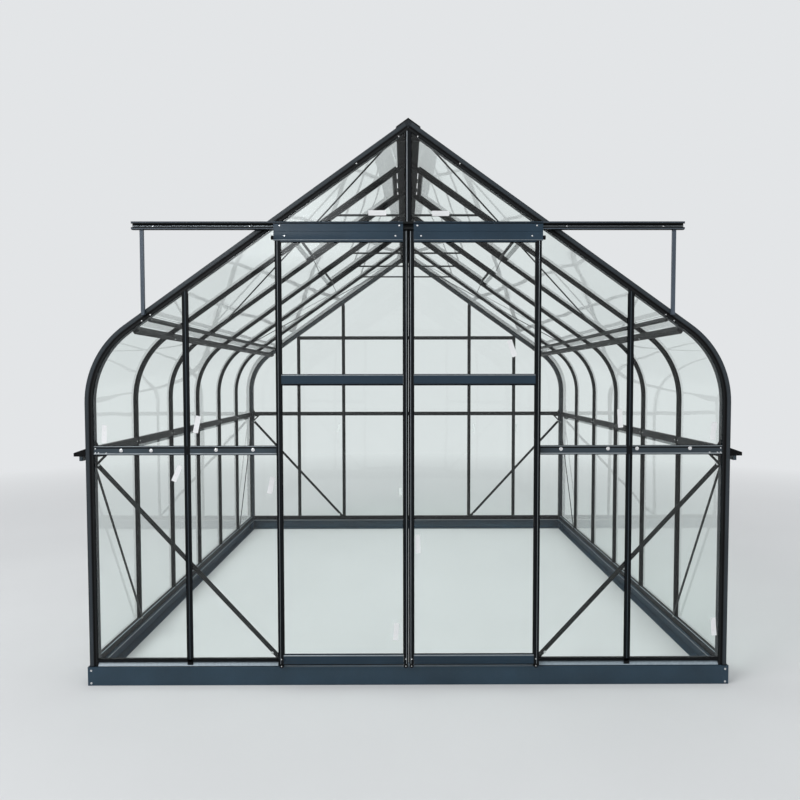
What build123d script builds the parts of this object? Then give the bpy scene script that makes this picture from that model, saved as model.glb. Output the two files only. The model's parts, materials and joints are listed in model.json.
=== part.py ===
"""Glass greenhouse with bent eaves and two sliding doors.

Millimetres. +X runs across the front to the right, +Y runs from the front
gable to the rear gable, +Z is up. The origin is on the ground in the middle
of the base frame.
"""
import os
from math import cos, radians, sin, tan

from build123d import *

os.makedirs("parts", exist_ok=True)

# Overall sizes, over the outer skin of the bars
house_width = 3112
house_length = 3700
ridge_skin_height = 2718
roof_pitch = 35.4
eave_radius = 460
bay_count = 6

# Base frame of folded channel, with a short corner piece at each end of the gables
base_height = 90
base_depth = 50
base_sheet = 2.5
base_overhang = 9
corner_piece_width = 37
corner_piece_wall = 3
corner_piece_round = 4

# Sill that carries the glass between the posts: a lip over a sloped weathering
sill_height = 35
sill_depth = 26
sill_slope_height = 22
sill_slope_inset = 12
sill_nose = 2

# Corner posts, gable bows and gable rafters share one section
gable_bar_width = 40
gable_bar_depth = 40
groove_width = 10
groove_depth = 2.5
groove_inset = 20
rebate_width = 9
rebate_depth = 7.6

# Glazing bars: outer cap, web and two inner lips, with the glass between cap and lips
cap_width = 28
cap_thickness = 3
web_thickness = 5
web_depth = 26
lip_width = 20
lip_thickness = 2

# Glass and clearances
glass_thickness = 4
seat = 0.3
pane_gap = 1
pane_bite = 5

# Rails between the bars, slotted for the glass
mid_rail_below_bend = 226.3
side_rail_below_mid = 6.5
mid_rail_width = 42
side_rail_width = 39
rear_rail_width = 33
mid_rail_depth = 24
upper_rail_below_roof = 61.7
slot_depth = 6
slot_width = 5.4

# Weather rail outside each side wall, over the joint between the panes: hollow, with a drip leg
weather_below_rail = 22
weather_root_rise = 15
weather_tip_fall = 5
weather_reach = 57
weather_wall = 2.5
weather_leg_reach = 23
weather_leg_width = 14
weather_leg = 22

# Eave purlin above the bend, and the joint strip above it, by their distance up the slope from it
purlin_above_bend = 21.4
purlin_width = 28
purlin_depth = 28
joint_above_bend = 105.4
strip_width = 14
strip_depth = 20

# Ridge
ridge_web = 8
ridge_depth = 82
ridge_cap_reach = 58
ridge_cap_thickness = 6

# Ties and braces of flat bar
tie_below_ridge = 306
tie_width = 12
tie_thickness = 5
tie_inset = 20
brace_thickness = 3
gable_brace_width = 22
gable_brace_below_rail = 66.5
gable_brace_above_base = 19
side_brace_width = 18
side_brace_below_rail = 73
side_brace_above_base = 30
roof_brace_width = 18
roof_brace_top = 130
roof_brace_above_joint = 22
roof_pane_top = 22

# Front gable
glazing_bar_x = 1067
jamb_x = 623
jamb_width = 28
jamb_depth = 26
transom_below_track = 16
transom_width = 36

# Door track and its two end posts
track_past_post = 46
track_below_roof = 76.2
track_height = 37
track_depth = 22
track_wall = 3
track_lip = 7
track_lip_thickness = 2.5
track_post_above_bend = 98.5
track_post_width = 16
track_post_overlap = 22

# Sliding doors, modelled closed
door_half_span = 628
door_meeting_gap = 6
door_gap = 7
door_thickness = 20
door_clearance = 5
door_floor_clearance = 20
door_top_clearance = 9
stile_width = 22
door_mid_rail_height = 1488
door_mid_rail_width = 50
door_bottom_rail_width = 45
door_top_rail_width = 50
top_plate_height = 89
top_plate_below_track = 54
top_plate_thickness = 3
top_plate_overhang = 9
roller_radius = 13
roller_thickness = 11
roller_groove = 2
axle_radius = 4
inner_roller_inset = 40
outer_roller_inset = 20
glide_radius = 10
glide_thickness = 12
glide_inset = 11
bumper_reach = 22
bumper_radius = 10
bumper_below_track = 38

# Roof vents at the ridge, in every other bay from the second, shown closed
vent_count = 2
vent_start = 76
vent_length = 720
vent_side_gap = 2
vent_frame_width = 26
vent_frame_depth = 14
vent_lap = 40
vent_sill_width = 16
vent_sill_depth = 18
stay_width = 14
stay_thickness = 3
stay_length = 130
stay_angle = 25

# Plates at the joints
gusset_thickness = 3
ridge_gusset_half_width = 76
ridge_gusset_drop = 90
ridge_gusset_inset = 12
corner_gusset_leg = 60
corner_gusset_hole = 26
corner_gusset_margin = 9
upper_gusset_width = 16
upper_gusset_height = 30

# Values that follow from the sizes above
pitch = radians(roof_pitch)
half_width = house_width / 2
half_length = house_length / 2
bend_angle = 90 - roof_pitch
bend_start = ridge_skin_height - half_width * tan(pitch) - eave_radius * tan(radians(bend_angle / 2))
bend_centre_x = half_width - eave_radius
bend_end = (bend_centre_x + eave_radius * sin(pitch)) / cos(pitch)
bay = (house_length - gable_bar_depth) / bay_count
bar_rows = [bay * (i - bay_count / 2) for i in range(1, bay_count)]
inner_half_length = half_length - gable_bar_depth - seat
post_inner_x = half_width - gable_bar_width - seat
pane_outer = cap_thickness + seat
pane_inner = pane_outer + glass_thickness
sill_top = base_height + seat + sill_height
mid_rail_height = bend_start - mid_rail_below_bend
side_rail_height = mid_rail_height - side_rail_below_mid
upper_rail_height = ridge_skin_height - glazing_bar_x * tan(pitch) - upper_rail_below_roof
joint_distance = bend_end - joint_above_bend
rail_inset = web_depth + seat
track_bottom = ridge_skin_height - jamb_x * tan(pitch) - track_below_roof
track_post_x = bend_centre_x + eave_radius * sin(pitch) - track_post_above_bend
track_half_length = track_post_x + track_past_post
transom_height = track_bottom - transom_below_track
track_front = half_length + seat + track_depth
leaf_back = half_length + door_gap
leaf_front = leaf_back + door_thickness
leaf_bottom = base_height + door_floor_clearance
leaf_top = track_bottom - door_top_clearance
plate_bottom = track_bottom - top_plate_below_track
roller_height = track_bottom + track_wall + seat + roller_radius
gables = (-1, 1)


def roof_height(x, inset=0.0):
    """Height of the roof plane, at a depth inside the skin, above a place across the house."""
    return ridge_skin_height - abs(x) * tan(pitch) - inset / cos(pitch)


def slope_point(distance, inset):
    """X and Z of a point down the +X slope from the ridge, at a depth inside the skin."""
    x = distance * cos(pitch) - inset * sin(pitch)
    z = ridge_skin_height - distance * sin(pitch) - inset * cos(pitch)
    return x, z


def roof_plane(inset):
    """The +X slope: local x runs down the slope and local y along the house."""
    x, z = slope_point(0, inset)
    return Plane(origin=(x, 0, z), x_dir=(cos(pitch), 0, -sin(pitch)), z_dir=(sin(pitch), 0, cos(pitch)))


def wall_section_plane(y, height):
    """Level plane at the +X wall: local x along the house, local y inwards from the skin."""
    return Plane(origin=(half_width, y, height), x_dir=(0, 1, 0), z_dir=(0, 0, 1))


def slope_section_plane(y, distance):
    """Plane square to the +X slope: local x along the house, local y inwards from the skin."""
    x, z = slope_point(distance, 0)
    return Plane(origin=(x, y, z), x_dir=(0, 1, 0), z_dir=(-cos(pitch), 0, sin(pitch)))


def gable_section_plane(end, x, height):
    """Level plane at a gable, -1 for the front and 1 for the rear: local y inwards from the face."""
    return Plane(origin=(x, end * half_length, height), x_dir=(-end, 0, 0), z_dir=(0, 0, 1))


def gable_rail_plane(end, x_low, x_high, height):
    """End of a level rail in a gable, with local x up and local y inwards."""
    x = x_high if end < 0 else x_low
    return Plane(origin=(x, end * half_length, height), x_dir=(0, 0, 1), z_dir=(end, 0, 0))


def wall_rail_plane(y_high, height):
    """End of a level rail in the +X wall, with local x up and local y inwards."""
    return Plane(origin=(half_width, y_high, height), x_dir=(0, 0, 1), z_dir=(0, -1, 0))


def slope_rail_plane(distance, inset):
    """Front end of a level rail under the +X slope: local x down the slope, local y inwards."""
    x, z = slope_point(distance, inset)
    return Plane(origin=(x, -inner_half_length, z), x_dir=(cos(pitch), 0, -sin(pitch)), z_dir=(0, 1, 0))


def gable_level(end, inset):
    """Upright plane at a depth behind a gable's face, with +X right."""
    return Plane.XZ.offset(-end * (half_length - inset))


def glazing_section(plane):
    """Section of a glazing bar: cap, web and lips."""
    with BuildSketch(plane) as section:
        with Locations((0, cap_thickness / 2)):
            Rectangle(cap_width, cap_thickness)
        with Locations((0, web_depth / 2)):
            Rectangle(web_thickness, web_depth)
        with Locations((0, pane_inner + seat + lip_thickness / 2)):
            Rectangle(lip_width, lip_thickness)
    return section.sketch


def gable_bar_section(plane):
    """Section of a corner post, gable bow or gable rafter, for the front gable."""
    with BuildSketch(plane) as section:
        with Locations((0, gable_bar_width / 2)):
            Rectangle(gable_bar_depth, gable_bar_width)
        with Locations((-gable_bar_depth / 2, groove_inset)):
            Rectangle(groove_depth, groove_width, align=(Align.MIN, Align.MIN), mode=Mode.SUBTRACT)
        with Locations((-gable_bar_depth / 2, gable_bar_width)):
            Rectangle(rebate_depth, rebate_width, align=(Align.MIN, Align.MAX), mode=Mode.SUBTRACT)
    return section.sketch


def slotted_section(plane, width, depth, slots=(-1, 1)):
    """Section of a rail or sill: local x is its width and local y its depth behind the face."""
    with BuildSketch(plane) as section:
        with Locations((0, depth / 2)):
            Rectangle(width, depth)
        with Locations(*[(side * (width - slot_depth) / 2, (pane_outer + pane_inner) / 2) for side in slots]):
            Rectangle(slot_depth, slot_width, mode=Mode.SUBTRACT)
    return section.sketch


def sill_section(plane):
    """Section of a sill: local x is up from the base and local y its depth behind the face."""
    with BuildSketch(plane) as section:
        Polygon(
            (0, -sill_nose),
            (sill_slope_height, sill_slope_inset),
            (sill_slope_height, 0),
            (sill_height, 0),
            (sill_height, sill_depth),
            (0, sill_depth),
            align=None,
        )
        with Locations((sill_height - slot_depth / 2, (pane_outer + pane_inner) / 2)):
            Rectangle(slot_depth, slot_width, mode=Mode.SUBTRACT)
    return section.sketch


def skin_path(y, foot, top):
    """Line of the outer skin on the +X side: up the wall, round the bend and up the roof."""
    with BuildLine(Plane.XZ.offset(-y)) as path:
        Line((half_width, foot), (half_width, bend_start))
        CenterArc((bend_centre_x, bend_start), eave_radius, 0, bend_angle)
        Line(slope_point(bend_end, 0), slope_point(top, 0))
    return path.wire()


def bent_pane_section(y, foot, top):
    """Section of a bent pane: up the wall, round the bend and a little up the roof."""
    with BuildSketch(Plane.XZ.offset(-y)) as section:
        with BuildLine():
            Line((half_width - pane_outer, foot), (half_width - pane_outer, bend_start))
            CenterArc((bend_centre_x, bend_start), eave_radius - pane_outer, 0, bend_angle)
            Line(slope_point(bend_end, pane_outer), slope_point(top, pane_outer))
            Line(slope_point(top, pane_outer), slope_point(top, pane_inner))
            Line(slope_point(top, pane_inner), slope_point(bend_end, pane_inner))
            CenterArc((bend_centre_x, bend_start), eave_radius - pane_inner, 0, bend_angle)
            Line((half_width - pane_inner, bend_start), (half_width - pane_inner, foot))
            Line((half_width - pane_inner, foot), (half_width - pane_outer, foot))
        make_face()
    return section.sketch


def inside_gable(y, edge):
    """Area of a gable within a depth inside the skin, from the base up."""
    with BuildSketch(Plane.XZ.offset(-y)) as area:
        with BuildLine():
            Line((0, base_height), (half_width - edge, base_height))
            Line((half_width - edge, base_height), (half_width - edge, bend_start))
            CenterArc((bend_centre_x, bend_start), eave_radius - edge, 0, bend_angle)
            Line(slope_point(bend_end, edge), (0, roof_height(0, edge)))
            Line((0, roof_height(0, edge)), (0, base_height))
        make_face()
        mirror(about=Plane.YZ)
    return area.sketch


def flat_bar(plane, start, finish, width):
    """Face of a flat brace whose ends are cut upright in its plane."""
    run = finish[0] - start[0]
    rise = finish[1] - start[1]
    half = width / 2 * (run**2 + rise**2) ** 0.5 / abs(run)
    with BuildSketch(plane) as face:
        Polygon(
            (start[0], start[1] - half),
            (finish[0], finish[1] - half),
            (finish[0], finish[1] + half),
            (start[0], start[1] + half),
            align=None,
        )
    return face.sketch


def save(piece, name):
    """Name a finished piece and write it."""
    piece.part.label = name
    export_step(piece.part, f"parts/{name}.step")


# Base rails across the two gables: channel open to the inside
gable_rail_half = half_width + base_overhang - corner_piece_width - seat
with BuildPart() as gable_base_rails:
    with BuildSketch(Plane.YZ.offset(-gable_rail_half)):
        with Locations((-half_length - base_overhang, 0)):
            Rectangle(base_depth, base_height, align=(Align.MIN, Align.MIN))
        with Locations((-half_length - base_overhang + base_sheet, base_height / 2)):
            Rectangle(
                base_depth,
                base_height - 2 * base_sheet,
                align=(Align.MIN, Align.CENTER),
                mode=Mode.SUBTRACT,
            )
    extrude(amount=2 * gable_rail_half)
    mirror(about=Plane.XZ)
save(gable_base_rails, "gable_base_rails")

# Base rails along the two sides, butted against the gable rails
side_rail_half = half_length + base_overhang - base_depth - seat
with BuildPart() as side_base_rails:
    with BuildSketch(Plane.XZ.offset(-side_rail_half)):
        with Locations((half_width + base_overhang, 0)):
            Rectangle(base_depth, base_height, align=(Align.MAX, Align.MIN))
        with Locations((half_width + base_overhang - base_sheet, base_height / 2)):
            Rectangle(
                base_depth,
                base_height - 2 * base_sheet,
                align=(Align.MAX, Align.CENTER),
                mode=Mode.SUBTRACT,
            )
    extrude(amount=2 * side_rail_half)
    mirror(about=Plane.YZ)
save(side_base_rails, "side_base_rails")

# Corner pieces of the base: short hollow boxes with a rounded outer edge
with BuildPart() as base_corners:
    with BuildSketch():
        with Locations((half_width + base_overhang, half_length + base_overhang)):
            Rectangle(corner_piece_width, base_depth, align=(Align.MAX, Align.MAX))
        fillet(vertices().group_by(Axis.X)[-1].sort_by(Axis.Y)[-1], corner_piece_round)
        with Locations(
            (
                half_width + base_overhang - corner_piece_width / 2,
                half_length + base_overhang - base_depth / 2,
            )
        ):
            Rectangle(
                corner_piece_width - 2 * corner_piece_wall,
                base_depth - 2 * corner_piece_wall,
                mode=Mode.SUBTRACT,
            )
    extrude(amount=base_height)
    mirror(about=Plane.XZ)
    mirror(about=Plane.YZ)
save(base_corners, "base_corners")

# Sills: two at the front beside the doorway, one at the rear, one on each side
jamb_outer = jamb_x + jamb_width / 2 + seat
jamb_inner = jamb_x - jamb_width / 2 - seat
sill_foot = base_height + seat
with BuildPart() as sills:
    extrude(
        sill_section(gable_rail_plane(-1, jamb_outer, post_inner_x, sill_foot)),
        amount=post_inner_x - jamb_outer,
    )
    extrude(sill_section(wall_rail_plane(inner_half_length, sill_foot)), amount=2 * inner_half_length)
    mirror(about=Plane.YZ)
    extrude(sill_section(gable_rail_plane(1, -post_inner_x, post_inner_x, sill_foot)), amount=2 * post_inner_x)
save(sills, "sills")

# Corner posts, from the base to the splice at the mid rails
gable_bar_y = -half_length + gable_bar_depth / 2
with BuildPart() as corner_posts:
    extrude(
        gable_bar_section(wall_section_plane(gable_bar_y, base_height + seat)),
        amount=mid_rail_height - base_height - 2 * seat,
    )
    mirror(about=Plane.YZ)
    mirror(about=Plane.XZ)
save(corner_posts, "corner_posts")

# Gable bows: the same section bent round the eave
with BuildPart() as gable_bows:
    sweep(
        gable_bar_section(wall_section_plane(gable_bar_y, mid_rail_height)),
        path=skin_path(gable_bar_y, mid_rail_height, joint_distance + seat),
    )
    mirror(about=Plane.YZ)
    mirror(about=Plane.XZ)
save(gable_bows, "gable_bows")

# Gable rafters, plumb cut where they meet at the ridge
with BuildPart() as gable_rafters:
    extrude(
        gable_bar_section(slope_section_plane(gable_bar_y, joint_distance)),
        amount=joint_distance + gable_bar_width,
    )
    split(bisect_by=Plane.YZ.offset(seat), keep=Keep.TOP)
    mirror(about=Plane.YZ)
    mirror(about=Plane.XZ)
save(gable_rafters, "gable_rafters")

# Upright glazing bars of the side walls
with BuildPart() as wall_bars:
    for row in bar_rows:
        extrude(
            glazing_section(wall_section_plane(row, sill_top + seat)),
            amount=side_rail_height - sill_top - 2 * seat,
        )
    mirror(about=Plane.YZ)
save(wall_bars, "wall_bars")

# Eave bows: the glazing bar section bent round the eave
with BuildPart() as eave_bows:
    for row in bar_rows:
        sweep(
            glazing_section(wall_section_plane(row, side_rail_height)),
            path=skin_path(row, side_rail_height, joint_distance + seat),
        )
    mirror(about=Plane.YZ)
save(eave_bows, "eave_bows")

# Rafters, plumb cut against the ridge web
with BuildPart() as rafters:
    for row in bar_rows:
        extrude(
            glazing_section(slope_section_plane(row, joint_distance)),
            amount=joint_distance + web_depth,
        )
    split(bisect_by=Plane.YZ.offset(ridge_web / 2 + seat), keep=Keep.TOP)
    mirror(about=Plane.YZ)
save(rafters, "rafters")

# Ridge bar: a cap over the rafters' ends and a web between them
ridge_web_half = inner_half_length - gusset_thickness - seat
with BuildPart() as ridge_bar:
    with BuildSketch(Plane.XZ.offset(-half_length)):
        Polygon(
            (0, roof_height(0, -seat)),
            (ridge_cap_reach, roof_height(ridge_cap_reach, -seat)),
            (ridge_cap_reach, roof_height(ridge_cap_reach, -seat - ridge_cap_thickness)),
            (0, roof_height(0, -seat - ridge_cap_thickness)),
            align=None,
        )
        mirror(about=Plane.YZ)
    extrude(amount=house_length)
    with BuildSketch(Plane.XZ.offset(-ridge_web_half)):
        with Locations((0, roof_height(0, -seat - ridge_cap_thickness / 2))):
            Rectangle(ridge_web, ridge_depth, align=(Align.CENTER, Align.MAX))
    extrude(amount=2 * ridge_web_half)
save(ridge_bar, "ridge_bar")

# Eave purlins, a little above the bend
with BuildPart() as eave_purlins:
    with BuildSketch(slope_rail_plane(bend_end - purlin_above_bend, rail_inset)):
        Rectangle(purlin_width, purlin_depth, align=(Align.CENTER, Align.MIN))
    extrude(amount=2 * inner_half_length)
    mirror(about=Plane.YZ)
save(eave_purlins, "eave_purlins")

# Eave strips, under the joint between the bent panes and the roof panes
with BuildPart() as eave_strips:
    with BuildSketch(slope_rail_plane(joint_distance, rail_inset)):
        Rectangle(strip_width, strip_depth, align=(Align.CENTER, Align.MIN))
    extrude(amount=2 * inner_half_length)
    mirror(about=Plane.YZ)
save(eave_strips, "eave_strips")

# Mid rails of the side walls, one between each two bars
cap_clear = cap_width / 2 + seat
bay_edges = [-inner_half_length - cap_clear] + bar_rows + [inner_half_length + cap_clear]
with BuildPart() as side_mid_rails:
    for low, high in zip(bay_edges, bay_edges[1:]):
        extrude(
            slotted_section(
                wall_rail_plane(high - cap_clear, side_rail_height), side_rail_width, mid_rail_depth
            ),
            amount=high - low - 2 * cap_clear,
        )
    mirror(about=Plane.YZ)
save(side_mid_rails, "side_mid_rails")

# Weather rails: a hollow wing that throws the rain clear of the lower panes, with a drip leg
root_x = half_width + seat
tip_x = root_x + weather_reach
weather_low = side_rail_height - weather_below_rail
weather_root_top = side_rail_height + weather_root_rise
weather_tip_top = side_rail_height - weather_tip_fall
wing_fall = (weather_root_top - weather_tip_top) / weather_reach
with BuildPart() as weather_rails:
    with BuildSketch(Plane.XZ.offset(half_length)):
        Polygon(
            (root_x, weather_low),
            (tip_x, weather_low),
            (tip_x, weather_tip_top),
            (root_x, weather_root_top),
            align=None,
        )
        Polygon(
            (root_x + weather_wall, weather_low + weather_wall),
            (tip_x - weather_wall, weather_low + weather_wall),
            (tip_x - weather_wall, weather_tip_top - weather_wall + weather_wall * wing_fall),
            (root_x + weather_wall, weather_root_top - weather_wall - weather_wall * wing_fall),
            align=None,
            mode=Mode.SUBTRACT,
        )
        with Locations((root_x + weather_leg_reach, weather_low)):
            Rectangle(weather_leg_width, weather_leg, align=(Align.CENTER, Align.MAX))
    extrude(amount=-house_length)
    mirror(about=Plane.YZ)
save(weather_rails, "weather_rails")

# Collar ties, each bolted beside the webs of a pair of rafters
tie_low = ridge_skin_height - tie_below_ridge - tie_width / 2
tie_high = tie_low + tie_width
tie_low_x = (roof_height(0, tie_inset) - tie_low) / tan(pitch)
tie_high_x = (roof_height(0, tie_inset) - tie_high) / tan(pitch)
with BuildPart() as collar_ties:
    for row in bar_rows:
        with BuildSketch(Plane.XZ.offset(-row - web_thickness / 2 - seat)):
            Polygon((0, tie_low), (tie_low_x, tie_low), (tie_high_x, tie_high), (0, tie_high), align=None)
            mirror(about=Plane.YZ)
        extrude(amount=-tie_thickness)
save(collar_ties, "collar_ties")

# Door jambs, from the base to the rafters
gable_edge = gable_bar_width + seat
with BuildPart() as door_jambs:
    with BuildSketch(Plane.XY.offset(base_height + seat)):
        with Locations((jamb_x, -half_length)):
            Rectangle(jamb_width, jamb_depth, align=(Align.CENTER, Align.MIN))
    extrude(amount=ridge_skin_height - base_height)
    mirror(about=Plane.YZ)
    extrude(inside_gable(-half_length, gable_edge), amount=-jamb_depth, mode=Mode.INTERSECT)
save(door_jambs, "door_jambs")

# Transom over the doorway
transom_top = transom_height + transom_width / 2
with BuildPart() as door_transom:
    extrude(
        slotted_section(
            gable_rail_plane(-1, -jamb_inner, jamb_inner, transom_height), transom_width, mid_rail_depth, (1,)
        ),
        amount=2 * jamb_inner,
    )
save(door_transom, "door_transom")

# Glazing bars of the front gable: one in each side bay, and the king bar over the doorway
with BuildPart() as front_glazing_bars:
    for x, foot in ((-glazing_bar_x, sill_top), (0, transom_top), (glazing_bar_x, sill_top)):
        extrude(glazing_section(gable_section_plane(-1, x, foot + seat)), amount=ridge_skin_height)
    extrude(inside_gable(-half_length, gable_edge), amount=-web_depth, mode=Mode.INTERSECT)
save(front_glazing_bars, "front_glazing_bars")

# Glazing bars of the rear gable
rear_bar_places = (-glazing_bar_x, -jamb_x, 0, jamb_x, glazing_bar_x)
with BuildPart() as rear_glazing_bars:
    for x in rear_bar_places:
        extrude(glazing_section(gable_section_plane(1, x, sill_top + seat)), amount=ridge_skin_height)
    extrude(inside_gable(half_length, gable_edge), amount=web_depth, mode=Mode.INTERSECT)
save(rear_glazing_bars, "rear_glazing_bars")

# Mid rails of the front gable, two pieces on each side of the doorway
outer_span = (glazing_bar_x + cap_clear, post_inner_x)
with BuildPart() as front_mid_rails:
    for low, high in ((jamb_outer, glazing_bar_x - cap_clear), outer_span):
        extrude(
            slotted_section(
                gable_rail_plane(-1, low, high, mid_rail_height), mid_rail_width, mid_rail_depth
            ),
            amount=high - low,
        )
    mirror(about=Plane.YZ)
save(front_mid_rails, "front_mid_rails")

# Rails of the rear gable: a mid rail in every bay, and an upper rail between the outer bars
middle_spans = ((cap_clear, jamb_x - cap_clear), (jamb_x + cap_clear, glazing_bar_x - cap_clear))
with BuildPart() as rear_rails:
    for height, spans in (
        (mid_rail_height, middle_spans + (outer_span,)),
        (upper_rail_height, middle_spans),
    ):
        for low, high in spans:
            extrude(
                slotted_section(gable_rail_plane(1, low, high, height), rear_rail_width, mid_rail_depth),
                amount=high - low,
            )
    mirror(about=Plane.YZ)
save(rear_rails, "rear_rails")

# Diagonal braces of the gables, from the corner posts down to the feet of the jambs
with BuildPart() as gable_braces:
    for end in gables:
        brace = flat_bar(
            gable_level(end, rail_inset),
            (post_inner_x, mid_rail_height - gable_brace_below_rail),
            (jamb_x, base_height + gable_brace_above_base),
            gable_brace_width,
        )
        extrude(brace, amount=end * brace_thickness)
    mirror(about=Plane.YZ)
save(gable_braces, "gable_braces")

# Diagonal braces of the side walls, in the first and last bays
with BuildPart() as side_braces:
    brace = flat_bar(
        Plane(origin=(half_width - rail_inset, 0, 0), x_dir=(0, 1, 0), z_dir=(1, 0, 0)),
        (-inner_half_length, side_rail_height - side_brace_below_rail),
        (bar_rows[0], base_height + side_brace_above_base),
        side_brace_width,
    )
    extrude(brace, amount=-brace_thickness)
    mirror(about=Plane.XZ)
    mirror(about=Plane.YZ)
save(side_braces, "side_braces")

# Diagonal braces of the roof, from the strip at the second rafter up to the gable by the ridge
with BuildPart() as roof_braces:
    slope = roof_plane(rail_inset)
    along_house = Plane(origin=slope.origin, x_dir=(0, 1, 0), z_dir=-slope.z_dir)
    brace = flat_bar(
        along_house,
        (-inner_half_length, roof_brace_top),
        (bar_rows[1], joint_distance - roof_brace_above_joint),
        roof_brace_width,
    )
    extrude(brace, amount=brace_thickness)
    mirror(about=Plane.XZ)
    mirror(about=Plane.YZ)
save(roof_braces, "roof_braces")

# Gusset plates: one behind the apex of each gable, and at each outer mid rail a cut-out plate below
# and a small one above
with BuildPart() as gusset_plates:
    for end, rail_width in zip(gables, (mid_rail_width, rear_rail_width)):
        with BuildSketch(gable_level(end, gable_bar_depth + seat)):
            Polygon(
                (0, ridge_skin_height - ridge_gusset_drop),
                (ridge_gusset_half_width, ridge_skin_height - ridge_gusset_drop),
                (ridge_gusset_half_width, roof_height(ridge_gusset_half_width, ridge_gusset_inset)),
                (0, roof_height(0, ridge_gusset_inset)),
                align=None,
            )
            mirror(about=Plane.YZ)
        extrude(amount=end * gusset_thickness)
        with BuildSketch(gable_level(end, mid_rail_depth)):
            corner_z = mid_rail_height - rail_width / 2 - seat
            for leg, margin, mode in (
                (corner_gusset_leg, 0, Mode.ADD),
                (corner_gusset_hole, corner_gusset_margin, Mode.SUBTRACT),
            ):
                Polygon(
                    (post_inner_x - margin, corner_z - margin),
                    (post_inner_x - margin - leg, corner_z - margin),
                    (post_inner_x - margin, corner_z - margin - leg),
                    align=None,
                    mode=mode,
                )
            upper_z = mid_rail_height + rail_width / 2 + seat
            Polygon(
                (post_inner_x, upper_z),
                (post_inner_x, upper_z + upper_gusset_height),
                (post_inner_x - upper_gusset_width, upper_z),
                align=None,
            )
            mirror(about=Plane.YZ)
        extrude(amount=-end * gusset_thickness)
save(gusset_plates, "gusset_plates")

# Door track: a channel with lips, open to the front, for the door rollers
with BuildPart() as door_track:
    with BuildSketch(Plane.YZ.offset(-track_half_length)):
        with Locations((-track_front, track_bottom)):
            Rectangle(track_depth, track_height, align=(Align.MIN, Align.MIN))
        with Locations((-track_front + track_lip_thickness, track_bottom + track_height / 2)):
            Rectangle(
                track_depth - track_wall - track_lip_thickness,
                track_height - 2 * track_wall,
                align=(Align.MIN, Align.CENTER),
                mode=Mode.SUBTRACT,
            )
        with Locations((-track_front, track_bottom + track_height / 2)):
            Rectangle(
                track_lip_thickness,
                track_height - 2 * (track_wall + track_lip),
                align=(Align.MIN, Align.CENTER),
                mode=Mode.SUBTRACT,
            )
    extrude(amount=2 * track_half_length)
save(door_track, "door_track")

# Posts that carry the ends of the track, standing on the face of the gable rafters
track_post_foot = roof_height(track_post_x) - track_post_overlap
with BuildPart() as track_posts:
    with BuildSketch(Plane.XY.offset(track_post_foot)):
        with Locations((track_post_x, -half_length - seat)):
            Rectangle(track_post_width, track_post_width, align=(Align.CENTER, Align.MAX))
    extrude(amount=track_bottom - seat - track_post_foot)
    mirror(about=Plane.YZ)
save(track_posts, "track_posts")

# Gable panes: one sheet set in the rebate of the gable bars, cut along the bars and rails
pane_edge = gable_bar_width - rebate_width + pane_gap
bar_slot = web_thickness + 2 * pane_gap
glass_foot = sill_top - pane_bite
front_pane_cut = mid_rail_width - 2 * pane_bite
rear_pane_cut = rear_rail_width - 2 * pane_bite
pane_layer = half_length - pane_outer - glass_thickness / 2
with BuildPart() as front_glass:
    extrude(inside_gable(-half_length + pane_outer, pane_edge), amount=-glass_thickness)
    with Locations((0, -pane_layer, 0)):
        Box(house_width, glass_thickness, 2 * glass_foot, mode=Mode.SUBTRACT)
        Box(2 * jamb_outer, glass_thickness, 2 * (transom_top - pane_bite), mode=Mode.SUBTRACT)
        Box(bar_slot, glass_thickness, 2 * ridge_skin_height, mode=Mode.SUBTRACT)
    with Locations((-jamb_x, -pane_layer, 0), (jamb_x, -pane_layer, 0)):
        Box(jamb_outer - jamb_inner, glass_thickness, 2 * ridge_skin_height, mode=Mode.SUBTRACT)
    with Locations((-glazing_bar_x, -pane_layer, 0), (glazing_bar_x, -pane_layer, 0)):
        Box(bar_slot, glass_thickness, 2 * ridge_skin_height, mode=Mode.SUBTRACT)
    with Locations((0, -pane_layer, mid_rail_height)):
        Box(house_width, glass_thickness, front_pane_cut, mode=Mode.SUBTRACT)
save(front_glass, "front_glass")

with BuildPart() as rear_glass:
    extrude(inside_gable(half_length - pane_outer, pane_edge), amount=glass_thickness)
    with Locations((0, pane_layer, 0)):
        Box(house_width, glass_thickness, 2 * glass_foot, mode=Mode.SUBTRACT)
    with Locations(*[(x, pane_layer, 0) for x in rear_bar_places]):
        Box(bar_slot, glass_thickness, 2 * ridge_skin_height, mode=Mode.SUBTRACT)
    with Locations((0, pane_layer, mid_rail_height)):
        Box(house_width, glass_thickness, rear_pane_cut, mode=Mode.SUBTRACT)
    with Locations((0, pane_layer, upper_rail_height)):
        Box(2 * glazing_bar_x, glass_thickness, rear_pane_cut, mode=Mode.SUBTRACT)
save(rear_glass, "rear_glass")

# Panes of the side walls, the bends and the roof, one of each to a bay
pane_clear = web_thickness / 2 + pane_gap
pane_rows = [-inner_half_length - pane_clear] + bar_rows + [inner_half_length + pane_clear]
pane_spans = [(low + pane_clear, high - pane_clear) for low, high in zip(pane_rows, pane_rows[1:])]
side_pane_top = side_rail_height - side_rail_width / 2 + pane_bite
bent_pane_foot = side_rail_height + side_rail_width / 2 - pane_bite
with BuildPart() as side_glass:
    for low, high in pane_spans:
        with Locations((half_width - pane_inner, low, glass_foot)):
            Box(
                glass_thickness,
                high - low,
                side_pane_top - glass_foot,
                align=(Align.MIN, Align.MIN, Align.MIN),
            )
    mirror(about=Plane.YZ)
save(side_glass, "side_glass")

with BuildPart() as bent_glass:
    for low, high in pane_spans:
        extrude(bent_pane_section(high, bent_pane_foot, joint_distance + pane_gap), amount=high - low)
    mirror(about=Plane.YZ)
save(bent_glass, "bent_glass")

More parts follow.
